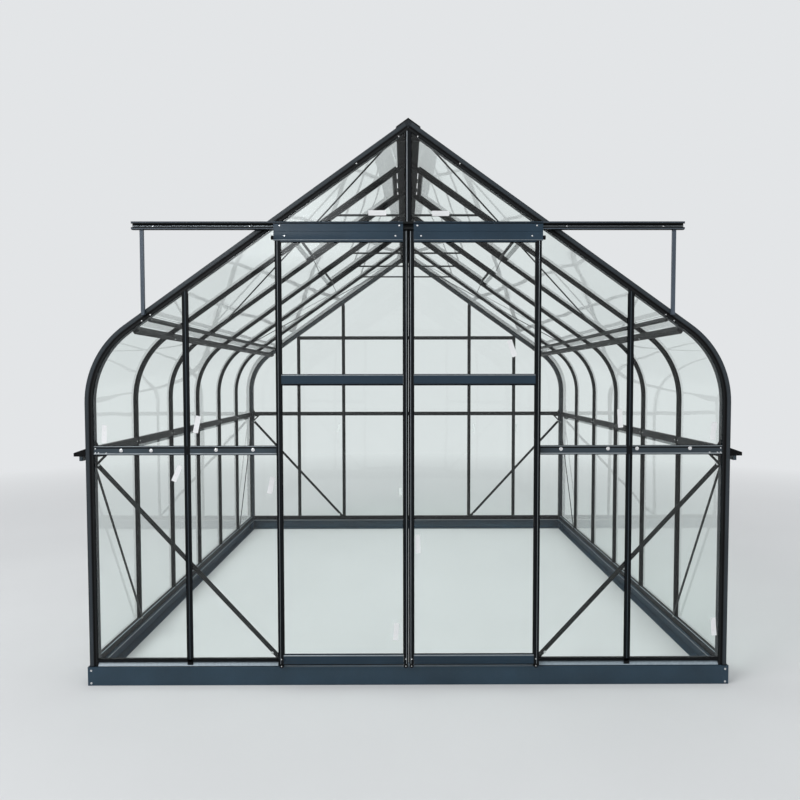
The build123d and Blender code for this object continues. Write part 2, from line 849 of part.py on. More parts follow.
# Roof panes run to the ridge, or up to the sill of the vent in the vent bays, with the vent panes
vent_end = vent_start + vent_length
vent_width = bay - 2 * vent_side_gap
vent_bays = range(1, 2 * vent_count, 2)
vent_middles = [(bar_rows[index - 1] + bar_rows[index]) / 2 for index in vent_bays]
with BuildPart() as roof_glass:
    for index, (low, high) in enumerate(pane_spans):
        top = vent_end - vent_lap if index in vent_bays else roof_pane_top
        with BuildSketch(roof_plane(pane_outer)):
            with Locations((top, low)):
                Rectangle(joint_distance - pane_gap - top, high - low, align=(Align.MIN, Align.MIN))
        extrude(amount=-glass_thickness)
    for middle in vent_middles:
        with BuildSketch(roof_plane(-seat - (vent_frame_depth - glass_thickness) / 2)):
            with Locations((vent_start + vent_length / 2, middle)):
                Rectangle(
                    vent_length - 2 * (vent_frame_width + seat),
                    vent_width - 2 * (vent_frame_width + seat),
                )
        extrude(amount=glass_thickness)
    mirror(about=Plane.YZ)
save(roof_glass, "roof_glass")

# Vent frames of four bars over the rafters, and under the lower edge of each a sill between them
vent_sill_inset = pane_inner + lip_thickness + 2 * seat
vent_sill_start = vent_end - vent_lap - vent_sill_width - seat
with BuildPart() as vent_frames:
    for middle in vent_middles:
        with BuildSketch(roof_plane(-seat)):
            vent_centre = vent_start + vent_length / 2
            for side in (-1, 1):
                with Locations((vent_centre, middle + side * (vent_width - vent_frame_width) / 2)):
                    Rectangle(vent_length, vent_frame_width)
                with Locations((vent_centre + side * (vent_length - vent_frame_width) / 2, middle)):
                    Rectangle(vent_frame_width, vent_width - 2 * (vent_frame_width + seat))
        extrude(amount=vent_frame_depth)
        with BuildSketch(roof_plane(vent_sill_inset)):
            with Locations((vent_sill_start, middle)):
                Rectangle(
                    vent_sill_width,
                    bay - web_thickness - 2 * seat,
                    align=(Align.MIN, Align.CENTER),
                )
        extrude(amount=-vent_sill_depth)
    mirror(about=Plane.YZ)
save(vent_frames, "vent_frames")

# Stays that hang from the vent sills
with BuildPart() as vent_stays:
    lean = radians(stay_angle)
    stay_cut = stay_thickness / cos(lean)
    hang_x, hang_z = slope_point(
        vent_sill_start + vent_sill_width / 2, vent_sill_inset + vent_sill_depth + seat
    )
    stay_end_x = hang_x - stay_length * sin(lean)
    stay_end_z = hang_z - stay_length * cos(lean)
    for middle in vent_middles:
        with BuildSketch(Plane.XZ.offset(-middle - stay_width / 2)):
            Polygon(
                (hang_x, hang_z),
                (stay_end_x, stay_end_z),
                (stay_end_x - stay_cut, stay_end_z),
                (hang_x - stay_cut, hang_z + stay_cut * tan(pitch)),
                align=None,
            )
        extrude(amount=stay_width)
    mirror(about=Plane.YZ)
save(vent_stays, "vent_stays")

# Sliding doors, built as the right-hand door and mirrored for the left-hand one
leaf_layer = (leaf_back + leaf_front) / 2
leaf_inner = door_meeting_gap / 2
rail_span = (leaf_inner + stile_width + seat, door_half_span - stile_width - seat)
bottom_rail_top = leaf_bottom + door_bottom_rail_width
door_rail_low = door_mid_rail_height - door_mid_rail_width / 2
door_rail_high = door_mid_rail_height + door_mid_rail_width / 2
top_rail_low = leaf_top - door_top_rail_width
with BuildPart() as stiles:
    for edge, groove_side in ((leaf_inner, 1), (door_half_span - stile_width, -1)):
        with BuildSketch(Plane.XY.offset(leaf_bottom)):
            middle = edge + stile_width / 2
            with Locations((middle, -leaf_layer)):
                Rectangle(stile_width, door_thickness)
            with Locations((middle + groove_side * (stile_width - slot_depth) / 2, -leaf_layer)):
                Rectangle(slot_depth, slot_width, mode=Mode.SUBTRACT)
        extrude(amount=leaf_top - leaf_bottom)

with BuildPart() as door_rails:
    for low, high, grooves in (
        (leaf_bottom, bottom_rail_top, (bottom_rail_top,)),
        (door_rail_low, door_rail_high, (door_rail_low, door_rail_high)),
        (top_rail_low, leaf_top, (top_rail_low,)),
    ):
        with BuildSketch(Plane.YZ.offset(rail_span[0])):
            with Locations((-leaf_layer, (low + high) / 2)):
                Rectangle(door_thickness, high - low)
            with Locations(*[(-leaf_layer, height) for height in grooves]):
                Rectangle(slot_width, 2 * slot_depth, mode=Mode.SUBTRACT)
        extrude(amount=rail_span[1] - rail_span[0])
    with BuildSketch(Plane.XZ.offset(track_front + door_clearance)):
        with Locations((rail_span[0], plate_bottom)):
            Rectangle(
                door_half_span + top_plate_overhang - rail_span[0],
                top_plate_height,
                align=(Align.MIN, Align.MIN),
            )
    extrude(amount=top_plate_thickness)

with BuildPart() as door_glass:
    for low, high in ((bottom_rail_top, door_rail_low), (door_rail_high, top_rail_low)):
        with Locations((rail_span[0] - pane_bite, -leaf_layer, low - pane_bite)):
            Box(
                rail_span[1] - rail_span[0] + 2 * pane_bite,
                glass_thickness,
                high - low + 2 * pane_bite,
                align=(Align.MIN, Align.CENTER, Align.MIN),
            )

# Rollers run inside the track on axles from the top plate
track_inner_back = half_length + seat + track_wall
track_inner_front = track_front - track_lip_thickness
roller_layer = (track_inner_back + track_inner_front) / 2
plate_back = track_front + door_clearance
with BuildPart() as rollers:
    for x in (leaf_inner + inner_roller_inset, door_half_span - outer_roller_inset):
        with BuildSketch(Plane.XY.offset(roller_height)):
            Polygon(
                (x, -roller_layer + roller_thickness / 2),
                (x + roller_radius, -roller_layer + roller_thickness / 2),
                (x + roller_radius - roller_groove, -roller_layer),
                (x + roller_radius, -roller_layer - roller_thickness / 2),
                (x + axle_radius, -roller_layer - roller_thickness / 2),
                (x + axle_radius, -plate_back),
                (x, -plate_back),
                align=None,
            )
        revolve(axis=Axis((x, 0, roller_height), (0, 1, 0)))

# Rubber and nylon pieces: a glide under each stile and a stop on the outer stile
glide_front = half_length + base_overhang + door_clearance
with BuildPart() as fittings:
    glide_places = (leaf_inner + glide_inset, door_half_span - glide_inset)
    with BuildSketch(Plane.XZ.offset(glide_front)):
        with Locations(*[(x, leaf_bottom - seat - glide_radius) for x in glide_places]):
            Circle(glide_radius)
    extrude(amount=glide_thickness)
    with Locations((door_half_span + seat, -leaf_layer, track_bottom - bumper_below_track)):
        Cylinder(
            bumper_radius,
            bumper_reach,
            rotation=(0, 90, 0),
            align=(Align.CENTER, Align.CENTER, Align.MIN),
        )

for piece, name in (
    (stiles, "door_stiles"),
    (door_rails, "door_rails"),
    (door_glass, "door_glass"),
    (rollers, "door_rollers"),
    (fittings, "door_glides"),
):
    save(piece, f"right_{name}")
    with BuildPart() as left_piece:
        mirror(piece.part, about=Plane.YZ)
    save(left_piece, f"left_{name}")
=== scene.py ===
"""Looks of the glass greenhouse: finishes, seals, fixings, labels, camera and light.

Metres. +X runs across the front to the right, +Y from the front gable to the
rear gable, +Z is up.
"""
import json
from math import cos, pi, radians, sin, tan

import bmesh
import bpy
from mathutils import Euler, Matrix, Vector


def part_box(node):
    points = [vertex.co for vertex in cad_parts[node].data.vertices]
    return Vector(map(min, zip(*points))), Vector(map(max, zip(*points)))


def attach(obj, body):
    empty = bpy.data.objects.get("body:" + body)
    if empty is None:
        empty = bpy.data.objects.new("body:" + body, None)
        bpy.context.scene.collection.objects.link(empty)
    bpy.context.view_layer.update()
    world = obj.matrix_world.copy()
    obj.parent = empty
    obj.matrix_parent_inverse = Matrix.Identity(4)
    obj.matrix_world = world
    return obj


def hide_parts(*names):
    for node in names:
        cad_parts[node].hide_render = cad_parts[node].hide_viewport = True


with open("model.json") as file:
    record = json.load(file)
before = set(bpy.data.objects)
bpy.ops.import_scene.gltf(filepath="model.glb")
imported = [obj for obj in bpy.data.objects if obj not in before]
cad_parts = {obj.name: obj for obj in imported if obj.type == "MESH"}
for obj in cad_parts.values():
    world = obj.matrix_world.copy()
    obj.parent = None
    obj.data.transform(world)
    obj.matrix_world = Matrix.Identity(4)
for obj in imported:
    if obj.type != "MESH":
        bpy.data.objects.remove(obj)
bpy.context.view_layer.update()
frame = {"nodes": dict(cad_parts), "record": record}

# Sizes read from the frame
post_low, post_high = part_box("corner_posts")
half_width = post_high.x
half_length = post_high.y
base_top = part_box("base_corners")[1].z
sill_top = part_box("sills")[1].z
mid_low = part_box("front_mid_rails")[0].z
mid_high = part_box("front_mid_rails")[1].z
side_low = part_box("side_mid_rails")[0].z
side_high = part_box("side_mid_rails")[1].z
track_low, track_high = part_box("door_track")
transom_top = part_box("door_transom")[1].z
plate_low, plate_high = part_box("right_door_rails")
leaf_low, leaf_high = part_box("right_door_stiles")
pane_low, pane_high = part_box("right_door_glass")
glide_low, glide_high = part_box("right_door_glides")
inner_half_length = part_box("side_glass")[1].y
jamb_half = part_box("door_jambs")[1].x
base_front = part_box("gable_base_rails")[0].y
base_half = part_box("base_corners")[1].x

# Sizes of the house that the frame's boxes do not give
pitch = radians(35.4)
eave_radius = 0.460
ridge_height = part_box("gable_rafters")[1].z
bay_count = 6
seat_gap = 0.0003
post_width = 0.040
cap_half = 0.014
cap_thickness = 0.003
lip_half = 0.010
glass_outer = 0.0033
glass_inner = 0.0073
groove_start = 0.020
groove_end = 0.030
groove_depth = 0.0025
bar_top_distance = 0.024
pane_top_distance = 0.064
glazing_bar_x = 1.067
jamb_width = 0.028
jamb_x = jamb_half - jamb_width / 2
roller_places = (0.043, 0.608)
stile_width = 0.022
leaf_half_depth = 0.010
pane_slot_half = 0.0027
pane_slot_depth = 0.006
door_rail_low = 1.463
door_rail_high = 1.513
door_foot_top = 0.155
top_rail_width = 0.050
rear_rail_half = 0.0165
brace_inset = 0.0263
brace_thickness = 0.003
sill_slope_rise = 0.022
sill_slope_run = 0.014
sill_nose = 0.002
sill_depth = 0.026
side_rail_depth = 0.0245
base_lip = 0.050
track_wall = 0.003

# Values that follow
gable_face = -half_length
post_inner = half_width - post_width
rear_mid_z = (mid_low + mid_high) / 2
upper_rail_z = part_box("rear_rails")[1].z - rear_rail_half
side_mid_z = (side_low + side_high) / 2
leaf_layer = (leaf_low.y + leaf_high.y) / 2
top_rail_low = leaf_high.z - top_rail_width
rail_start = leaf_low.x + stile_width + seat_gap
rail_end = leaf_high.x - stile_width - seat_gap
bend_angle = pi / 2 - pitch
bend_start = ridge_height - half_width * tan(pitch) - eave_radius * tan(bend_angle / 2)
bend_centre = Vector((half_width - eave_radius, 0, bend_start))
bay = 2 * (half_length - post_width / 2) / bay_count
bar_rows = [bay * (i - bay_count / 2) for i in range(1, bay_count)]
slope_inward = Vector((-sin(pitch), 0, -cos(pitch)))

# Directions, and the signs that mirror a piece across and along the house
to_right = (1, 0, 0)
to_left = (-1, 0, 0)
to_front = (0, -1, 0)
to_rear = (0, 1, 0)
to_top = (0, 0, 1)
to_ground = (0, 0, -1)
as_built = ((1, 1),)
side_mirrors = ((1, 1), (-1, 1))
end_mirrors = ((1, 1), (1, -1))
mirrors = ((1, 1), (-1, 1), (1, -1), (-1, -1))

# The photograph's camera, fitted to the edges of the frame
focal_pixels = 719.33
image_size = 800
axis_pixel = (407.64, 411.25)
eye = Vector((-0.0199, -5.3092, 1.4912))
camera_turn = (pi / 2 - 0.0447, 0.0011, -0.0046)
sensor_width = 36.0

# Places of fixings and lines that the boxes do not give
plate_bottom = track_low.z - 0.054
plate_line = plate_bottom + 0.042
plate_inset = 0.0014
roller_z = track_low.z + 0.0163
lower_screw_z = plate_bottom + 0.022
lower_screw_places = (roller_places[0] + 0.0175, roller_places[1] - 0.0225)
stile_screw_z = leaf_low.z + 0.024
glide_screw_z = glide_low.z + 0.010
bumper_z = track_low.z - 0.038
joint_distance = 1.566
purlin_distance = 1.650
brace_high = side_mid_z - 0.078
brace_foot = base_top + 0.036
base_bolt_heights = (0.0738, 0.0114)
base_bolt_x = base_half - 0.018
bar_foot_low = 0.0975
middle_ridge_x = -0.006
gusset_depth = 0.024
brace_head = (post_inner - 0.010, rear_mid_z - 0.072)
joint_screw_shifts = (-0.028, 0.022)
joint_screw_inset = 0.0345
purlin_screw_inset = 0.0545
ridge_screw_distance = 0.050
ridge_screw_lift = 0.0063
rear_screw_shifts = (-0.030, 0.030)
side_rail_screw_shifts = (-0.022, 0.022)
rafter_screw_places = ((0.045, 2.6385), (0.245, 2.512))
base_screw_rows = (0.30, 1.10, 1.70)
track_screw_places = (0.28, 0.755, 1.214)
hinge_shifts = (-0.21, 0.0, 0.21)
hinge_screw_shifts = (-0.024, 0.024)
knuckle_starts = (-0.034, -0.011, 0.012)
knuckle_length = 0.022
knuckle_radius = 0.0048
knuckle_sides = 10
stay_angle = radians(25)
stay_pin_falls = (0.018, 0.050, 0.082, 0.114)

# Radius and height of the screw heads, and radius of the bolt heads
plate_screw = (0.0038, 0.0014)
stile_screw = (0.0034, 0.0016)
glide_screw = (0.0030, 0.0018)
stop_tip = (0.0026, 0.0003)
rail_screw = (0.0036, 0.0020)
rafter_screw = (0.0034, 0.0018)
rear_screw = (0.0040, 0.0024)
side_rail_screw = (0.0036, 0.0022)
purlin_screw = (0.0042, 0.0026)
ridge_screw = (0.0036, 0.0020)
base_screw = (0.0042, 0.0022)
track_screw = (0.0040, 0.0014)
hinge_screw = (0.0030, 0.0016)
stay_pin = (0.0026, 0.0030)
mid_rail_bolt = 0.0062
base_bolt = 0.0036
gable_brace_bolt = 0.0048
side_brace_bolt = 0.0044

# Levels and colours of the studio
background_level = 0.80
card_level = 7.0
ambient_level = 0.48
studio_white = (0.96, 0.98, 1.0, 1)
dust_colour = (0.105, 0.112, 0.112, 1)
shadow_tint = (0.93, 0.965, 0.95, 1)

# Angle of a sharp edge, sizes of the seals, and how far beads and heads sink into a face
sharp_angle = radians(35)
seal_start = 0.0001
seal_end = 0.0021
seal_clearance = 0.00005
seal_crown = 0.0024
outer_seal_crown = -0.0008
inner_seal_crown = -0.0092
wall_seal_gap = 0.0004
door_seal_end = 0.0026
door_seal_crown = 0.0030
bead_foot = -0.0003
head_foot = -0.0004

# Pixels of the photograph at which fixings show, and the two ends of each label
mid_rail_bolts = (
    (121, 450.6), (151, 450.6), (216, 450), (253, 449.8),
    (561, 449), (608, 448.6), (637, 448.4), (690, 448.2),
)
rail_end_screws = ((95.3, 448.8), (95.3, 453.2), (98.5, 453.2), (106.3, 453.2))
brace_foot_pixel = (272.4, 652.6)
gusset_screws = ((95.3, 456.9), (95.3, 463.7))
label_width = 0.0245
label_thickness = 0.0003
label_bow = 0.0012
label_corner = 0.96
label_gap = 0.0002
front_labels = (
    ((104.6, 425.2), (104.2, 443.0)), ((198.6, 416.0), (195.4, 432.8)), ((180.2, 465.7), (173.7, 481.3)),
    ((273.0, 476.7), (269.6, 493.6)), ((619.7, 409.2), (620.6, 427.5)), ((714.6, 422.0), (712.3, 439.8)),
    ((712.9, 617.5), (714.0, 635.3)), ((368.3, 212.9), (386.3, 212.9)), ((432.0, 213.4), (449.2, 213.4)),
)
rear_labels = (
    ((339.9, 423.5), (337.9, 431.6)), ((400.5, 487.6), (400.5, 495.7)), ((516.1, 423.9), (516.1, 432.0)),
    ((474.4, 423.5), (472.8, 431.9)),
)
left_door_labels = (((396.8, 622.7), (395.6, 640.0)),)
right_door_labels = (((417.6, 534.5), (418.3, 553.3)), ((509.4, 340.2), (514.9, 356.6)))


def gable_height(x):
    """Height of the inner edge of the gable bars at a place across the house."""
    return ridge_height - abs(x) * tan(pitch) - post_width / cos(pitch)


def slope_point(distance, inset=0.0):
    """Place down the +X slope from the ridge, at a depth inside the skin."""
    return Vector((
        distance * cos(pitch) - inset * sin(pitch),
        0,
        ridge_height - distance * sin(pitch) - inset * cos(pitch),
    ))


def pixel_place(pixel, y):
    """Where the photograph's ray through a pixel meets an upright plane across the house."""
    right = (pixel[0] - axis_pixel[0]) / focal_pixels
    up = (axis_pixel[1] - pixel[1]) / focal_pixels
    ray = Euler(camera_turn).to_matrix() @ Vector((right, up, -1))
    return eye + ray * ((y - eye.y) / ray.y)


# Materials

def new_material(name):
    """A node material and its Principled shader."""
    made = bpy.data.materials.new(name)
    made.use_nodes = True
    return made, made.node_tree, made.node_tree.nodes["Principled BSDF"]


def add_node(tree, kind, **values):
    """A node with some of its inputs set by name."""
    node = tree.nodes.new(kind)
    for key, value in values.items():
        node.inputs[key.replace("_", " ")].default_value = value
    return node


def object_space(tree):
    """Places in object space, so that a pattern stays on its piece."""
    return tree.nodes.new("ShaderNodeTexCoord").outputs["Object"]


def object_noise(tree, scale, detail=3.0, roughness=0.5):
    """Noise in object space."""
    noise = add_node(tree, "ShaderNodeTexNoise", Scale=scale, Detail=detail, Roughness=roughness)
    tree.links.new(object_space(tree), noise.inputs["Vector"])
    return noise.outputs["Fac"]


def colour_ramp(tree, source, stops):
    """A ramp of colours driven by a value."""
    ramp = tree.nodes.new("ShaderNodeValToRGB")
    elements = ramp.color_ramp.elements
    while len(elements) < len(stops):
        elements.new(0.5)
    for element, (place, colour) in zip(elements, stops):
        element.position = place
        element.color = (*colour, 1)
    tree.links.new(source, ramp.inputs["Fac"])
    return ramp.outputs["Color"]


def value_range(tree, source, low, high, to_low, to_high):
    """A value mapped from one range to another."""
    remap = tree.nodes.new("ShaderNodeMapRange")
    for index, value in enumerate((low, high, to_low, to_high), start=1):
        remap.inputs[index].default_value = value
    tree.links.new(source, remap.inputs[0])
    return remap.outputs[0]


def add_bump(tree, shader, source, strength, distance):
    """Bump from a value."""
    bump = add_node(tree, "ShaderNodeBump", Strength=strength, Distance=distance)
    tree.links.new(source, bump.inputs["Height"])
    tree.links.new(bump.outputs["Normal"], shader.inputs["Normal"])


def object_axis(tree, axis):
    """One coordinate in object space."""
    split = tree.nodes.new("ShaderNodeSeparateXYZ")
    tree.links.new(object_space(tree), split.inputs[0])
    return split.outputs[axis]


def combined(tree, operation, first, second):
    """One value made of two."""
    node = tree.nodes.new("ShaderNodeMath")
    node.operation = operation
    tree.links.new(first, node.inputs[0])
    tree.links.new(second, node.inputs[1])
    return node.outputs[0]


def mixed_shaders(tree, share, first, second):
    """Two shaders mixed by a share."""
    mix = tree.nodes.new("ShaderNodeMixShader")
    for socket, source in zip(mix.inputs, (share, first, second)):
        tree.links.new(source, socket)
    return mix.outputs[0]


def seen_rays(tree):
    """1 for rays seen straight, mirrored or through glass, and 0 for the rest."""
    path = tree.nodes.new("ShaderNodeLightPath")
    seen = path.outputs["Is Camera Ray"]
    for kind in ("Is Glossy Ray", "Is Transmission Ray"):
        seen = combined(tree, "MAXIMUM", seen, path.outputs[kind])
    return seen


def powder_coat(name, middle, roughness=(0.36, 0.50), specular=0.35, dust_low=0.30):
    """Satin powder coat: cloudy tone, fine orange peel and a little dust low down."""
    tones = [tuple(part * step for part in middle) for step in (0.76, 1.0, 1.30)]
    made, tree, shader = new_material(name)
    cloud = object_noise(tree, 2.6, 5.0, 0.62)
    base = colour_ramp(tree, cloud, ((0.30, tones[0]), (0.55, tones[1]), (0.78, tones[2])))
    specks = object_noise(tree, 520.0, 5.0, 0.65)
    low_down = value_range(tree, object_axis(tree, "Z"), 0.0, 0.40, dust_low, 0.02)
    dusty = value_range(tree, specks, 0.50, 0.80, 0.0, 1.0)
    dust = tree.nodes.new("ShaderNodeMix")
    dust.data_type = "RGBA"
    tree.links.new(combined(tree, "MULTIPLY", low_down, dusty), dust.inputs[0])
    tree.links.new(base, dust.inputs[6])
    dust.inputs[7].default_value = dust_colour
    tree.links.new(dust.outputs[2], shader.inputs["Base Color"])
    gloss = value_range(tree, cloud, 0.3, 0.7, *roughness)
    tree.links.new(gloss, shader.inputs["Roughness"])
    shader.inputs["Specular IOR Level"].default_value = specular
    peel = object_noise(tree, 900.0, 2.0)
    add_bump(tree, shader, peel, 0.12, 0.0004)
    return made


def sheet_glass(name, tint):
    """Clear float glass that lets the lamps through, with faint waves and smears."""
    made, tree, shader = new_material(name)
    shader.inputs["Transmission Weight"].default_value = 1.0
    shader.inputs["IOR"].default_value = 1.30
    film = object_noise(tree, 3.2, 6.0, 0.6)
    tint_low = tuple(0.985 * part for part in tint)
    tone = colour_ramp(tree, film, ((0.35, tint_low), (0.65, tint)))
    tree.links.new(tone, shader.inputs["Base Color"])
    smears = value_range(tree, film, 0.45, 0.80, 0.0, 0.05)
    tree.links.new(smears, shader.inputs["Roughness"])
    swell = object_noise(tree, 1.7, 1.0)
    add_bump(tree, shader, swell, 0.035, 0.05)
    clear = add_node(tree, "ShaderNodeBsdfTransparent", Color=shadow_tint)
    shadow = tree.nodes.new("ShaderNodeLightPath").outputs["Is Shadow Ray"]
    surface = mixed_shaders(tree, shadow, shader.outputs[0], clear.outputs[0])
    tree.links.new(surface, tree.nodes["Material Output"].inputs["Surface"])
    return made


def plain_grain(name, tones, roughness, grain, metallic=0.0, specular=0.5, bump=0.2):
    """A material with a fine grain in its colour, gloss and surface."""
    made, tree, shader = new_material(name)
    noise = object_noise(tree, grain, 4.0, 0.6)
    tone = colour_ramp(tree, noise, ((0.3, tones[0]), (0.7, tones[1])))
    tree.links.new(tone, shader.inputs["Base Color"])
    gloss = value_range(tree, noise, 0.3, 0.7, *roughness)
    tree.links.new(gloss, shader.inputs["Roughness"])
    shader.inputs["Metallic"].default_value = metallic
    shader.inputs["Specular IOR Level"].default_value = specular
    add_bump(tree, shader, noise, bump, 0.0003)
    return made


paint = powder_coat("anthracite_paint", (0.021, 0.048, 0.075))
# The rail paint is the anthracite coat made lighter: a painted sheen for the lit look of the mid rails,
# weather rails and upright ridges.
rail_sheen_paint = powder_coat("rail_sheen_paint", (0.032, 0.048, 0.061))
band_paint = powder_coat("band_paint", (0.012, 0.016, 0.020), (0.36, 0.50), 0.25)
black_paint = powder_coat("upright_paint", (0.0042, 0.0054, 0.0068), (0.42, 0.56), 0.10, 0.06)
# The band paint is the bars' coat made lighter: a painted sheen for the lit outer bands of the gable bars.
band_sheen_paint = powder_coat("band_sheen_paint", (0.026, 0.034, 0.041), (0.30, 0.42), 0.3, 0.1)
post_paint = powder_coat("post_paint", (0.066, 0.086, 0.112), (0.36, 0.50), 0.35, 0.02)
plate_paint = powder_coat("plate_paint", (0.010, 0.029, 0.050), (0.26, 0.36), 0.35, 0.1)
inner_paint = powder_coat("inner_paint", (0.0095, 0.0105, 0.0110), (0.45, 0.60), 0.12, 0.08)
# Light paint for beads, lips and ridges: partly bare metal, partly a painted highlight along their edges.
bare_and_highlight_paint = plain_grain(
    "bare_and_highlight_paint", ((0.24, 0.27, 0.29), (0.35, 0.38, 0.40)), (0.30, 0.42), 300.0, metallic=1.0, bump=0.04
)
# Light sill paint: a painted highlight on the sills' upward slopes and inner edges.
sill_highlight_paint = plain_grain("sill_highlight_paint", ((0.22, 0.28, 0.32), (0.32, 0.39, 0.44)), (0.30, 0.44), 90.0)
clear_glass = sheet_glass("clear_glass", (0.955, 0.982, 0.972))
rubber = plain_grain(
    "black_rubber", ((0.0022, 0.0022, 0.0025), (0.0052, 0.0052, 0.0056)), (0.62, 0.80), 320.0, specular=0.10
)
nylon = plain_grain("nylon", ((0.30, 0.30, 0.29), (0.42, 0.42, 0.40)), (0.38, 0.50), 260.0)
bright_steel = plain_grain(
    "bright_steel", ((0.70, 0.71, 0.72), (0.90, 0.90, 0.90)), (0.18, 0.32), 500.0, metallic=1.0
)
label_paper = plain_grain("label_paper", ((0.82, 0.83, 0.84), (0.92, 0.92, 0.93)), (0.55, 0.7), 140.0)


def finish_frame():
    """Give every node of the frame its finish."""
    finishes = {"frame": inner_paint, "glass": clear_glass, "rollers": nylon, "rubber": rubber}
    slots = {part["node"]: part["material_slot"] for part in frame["record"]["subparts"]}
    special = {
        paint: "gable_base_rails base_corners side_base_rails",
        # The rail paint here is a painted sheen on the mid and weather rails.
        rail_sheen_paint: "front_mid_rails weather_rails",
        post_paint: "track_posts",
        band_paint: "corner_posts gable_bows gable_rafters",
        black_paint: "front_glazing_bars door_jambs left_door_stiles right_door_stiles sills side_mid_rails",
    }
    chosen = {name: finish for finish, names in special.items() for name in names.split()}
    for name, node in frame["nodes"].items():
        for slot in node.material_slots:
            slot.material = chosen.get(name, finishes[slots[name]])


finish_frame()


# Mesh tools

def make_piece(name, mesh, material, body="house"):
    """Close a mesh into a named piece that rides on a body."""
    bmesh.ops.recalc_face_normals(mesh, faces=mesh.faces)
    data = bpy.data.meshes.new(name)
    mesh.to_mesh(data)
    mesh.free()
    data.materials.append(material)
    data.shade_smooth()
    data.set_sharp_from_angle(angle=sharp_angle)
    piece = bpy.data.objects.new(name, data)
    bpy.context.collection.objects.link(piece)
    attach(piece, body)
    return piece


def flipped(place, flip):
    """A place mirrored across the house, along it, or both."""
    return Vector((place.x * flip[0], place.y * flip[1], place.z))


def join_rings(mesh, rings):
    """Faces between rings of points, and one over each end."""
    for low, high in zip(rings, rings[1:]):
        for i in range(len(low)):
            j = (i + 1) % len(low)
            mesh.faces.new((low[i], low[j], high[j], high[i]))
    mesh.faces.new(rings[0])
    mesh.faces.new(rings[-1])


def add_sweep(mesh, line, along, section, flips=as_built):
    """Sweep a closed section along a line; the section's points are (along, out) offsets."""
    for flip in flips:
        rings = []
        for place, out in line:
            rings.append([mesh.verts.new(flipped(place + along * a + out * b, flip)) for a, b in section])
        join_rings(mesh, rings)


def half_round(start, end, foot, crown):
    """Section of a bead: flat below at foot, crowned above, from start to end along."""
    middle = (start + end) / 2
    half = (end - start) / 2
    drop = min(abs(crown - foot) * 0.6, half)
    points = [(start, foot), (end, foot)]
    for step in range(5):
        turn = pi * step / 4
        points.append((middle + half * cos(turn), crown - (1 - sin(turn)) * drop))
    return points


def straight(start, end, out):
    """Line of two points with one way out."""
    return [(Vector(start), Vector(out)), (Vector(end), Vector(out))]


def moved_line(line, y):
    """A line moved along the house."""
    return [(place + Vector((0, y, 0)), out) for place, out in line]


def skin_line(foot, top, steps=24):
    """Up the wall, round the bend and up the +X slope to a distance from the ridge."""
    line = []
    if foot < bend_start:
        line.append((Vector((half_width, 0, foot)), Vector(to_right)))
    for step in range(steps + 1):
        turn = bend_angle * step / steps
        out = Vector((cos(turn), 0, sin(turn)))
        line.append((bend_centre + eave_radius * out, out))
    line.append((slope_point(top), -slope_inward))
    return line


def gable_line():
    """The outer edge of the right front gable bars, from the post's foot to the ridge."""
    return moved_line(skin_line(post_low.z, bar_top_distance, 32), gable_face)


def add_head(mesh, place, out, size, flips=as_built, sides=12, socket=0.4):
    """Head of a bolt or screw, by radius and height, with a chamfered rim and a socket."""
    radius, height = size
    out = Vector(out).normalized()
    across = out.orthogonal().normalized()
    other = out.cross(across)
    profile = (
        (radius, head_foot),
        (radius, height * 0.45),
        (radius * 0.86, height * 0.86),
        (radius * 0.62, height),
        (radius * socket, height),
        (radius * socket * 0.92, height * 0.35),
    )
    for flip in flips:
        rings = []
        for reach, rise in profile:
            ring = []
            for side in range(sides):
                turn = 2 * pi * (side + 0.5) / sides
                spot = Vector(place) + out * rise + (across * cos(turn) + other * sin(turn)) * reach
                ring.append(mesh.verts.new(flipped(spot, flip)))
            rings.append(ring)
        join_rings(mesh, rings)


def add_bead(mesh, ends, out, along, width, crown, flips=as_built, foot=bead_foot):
    """Rounded bead between two places, standing out of a face."""
    section = half_round(-width / 2, width / 2, foot, crown)
    add_sweep(mesh, straight(*ends, out), Vector(along), section, flips)


def add_strip(mesh, ends, out, along, width, foot, crown, flips=as_built):
    """Flat strip with eased edges between two places, lying on a face."""
    half = width / 2
    ease = min(0.4 * abs(crown - foot), 0.2 * width)
    section = (
        (-half, foot), (half, foot), (half, crown - ease), (half - ease, crown),
        (ease - half, crown), (-half, crown - ease),
    )
    add_sweep(mesh, straight(*ends, out), Vector(along), section, flips)


def add_bolt(mesh, place, out, radius, flips=as_built):
    """Bolt head on a washer."""
    out = Vector(out).normalized()
    washer = radius * 0.2
    add_head(mesh, place, out, (radius * 1.4, washer), flips, 16, 0.9)
    add_head(mesh, Vector(place) + out * washer, out, (radius, radius * 0.55), flips, 6, 0.45)


# Rubber seals

glass_bead = half_round(seal_start, seal_end, seal_clearance, seal_crown)


def gable_bar_seals():
    """Black rubber pressed into the groove of the corner posts, gable bows and gable rafters."""
    mesh = bmesh.new()
    side_gap = 0.0002
    bottom = groove_depth - 0.0001
    start = -groove_start - side_gap
    end = -groove_end + side_gap
    shoulder, crest, hollow, crest_width = 0.0008, 0.0003, 0.0010, 0.0030
    section = (
        (bottom, start), (bottom, end), (shoulder, end), (crest, -groove_end + crest_width),
        (hollow, -(groove_start + groove_end) / 2), (crest, -groove_start - crest_width), (shoulder, start),
    )
    add_sweep(mesh, gable_line(), Vector(to_rear), section, mirrors)
    make_piece("gable_bar_seals", mesh, rubber)


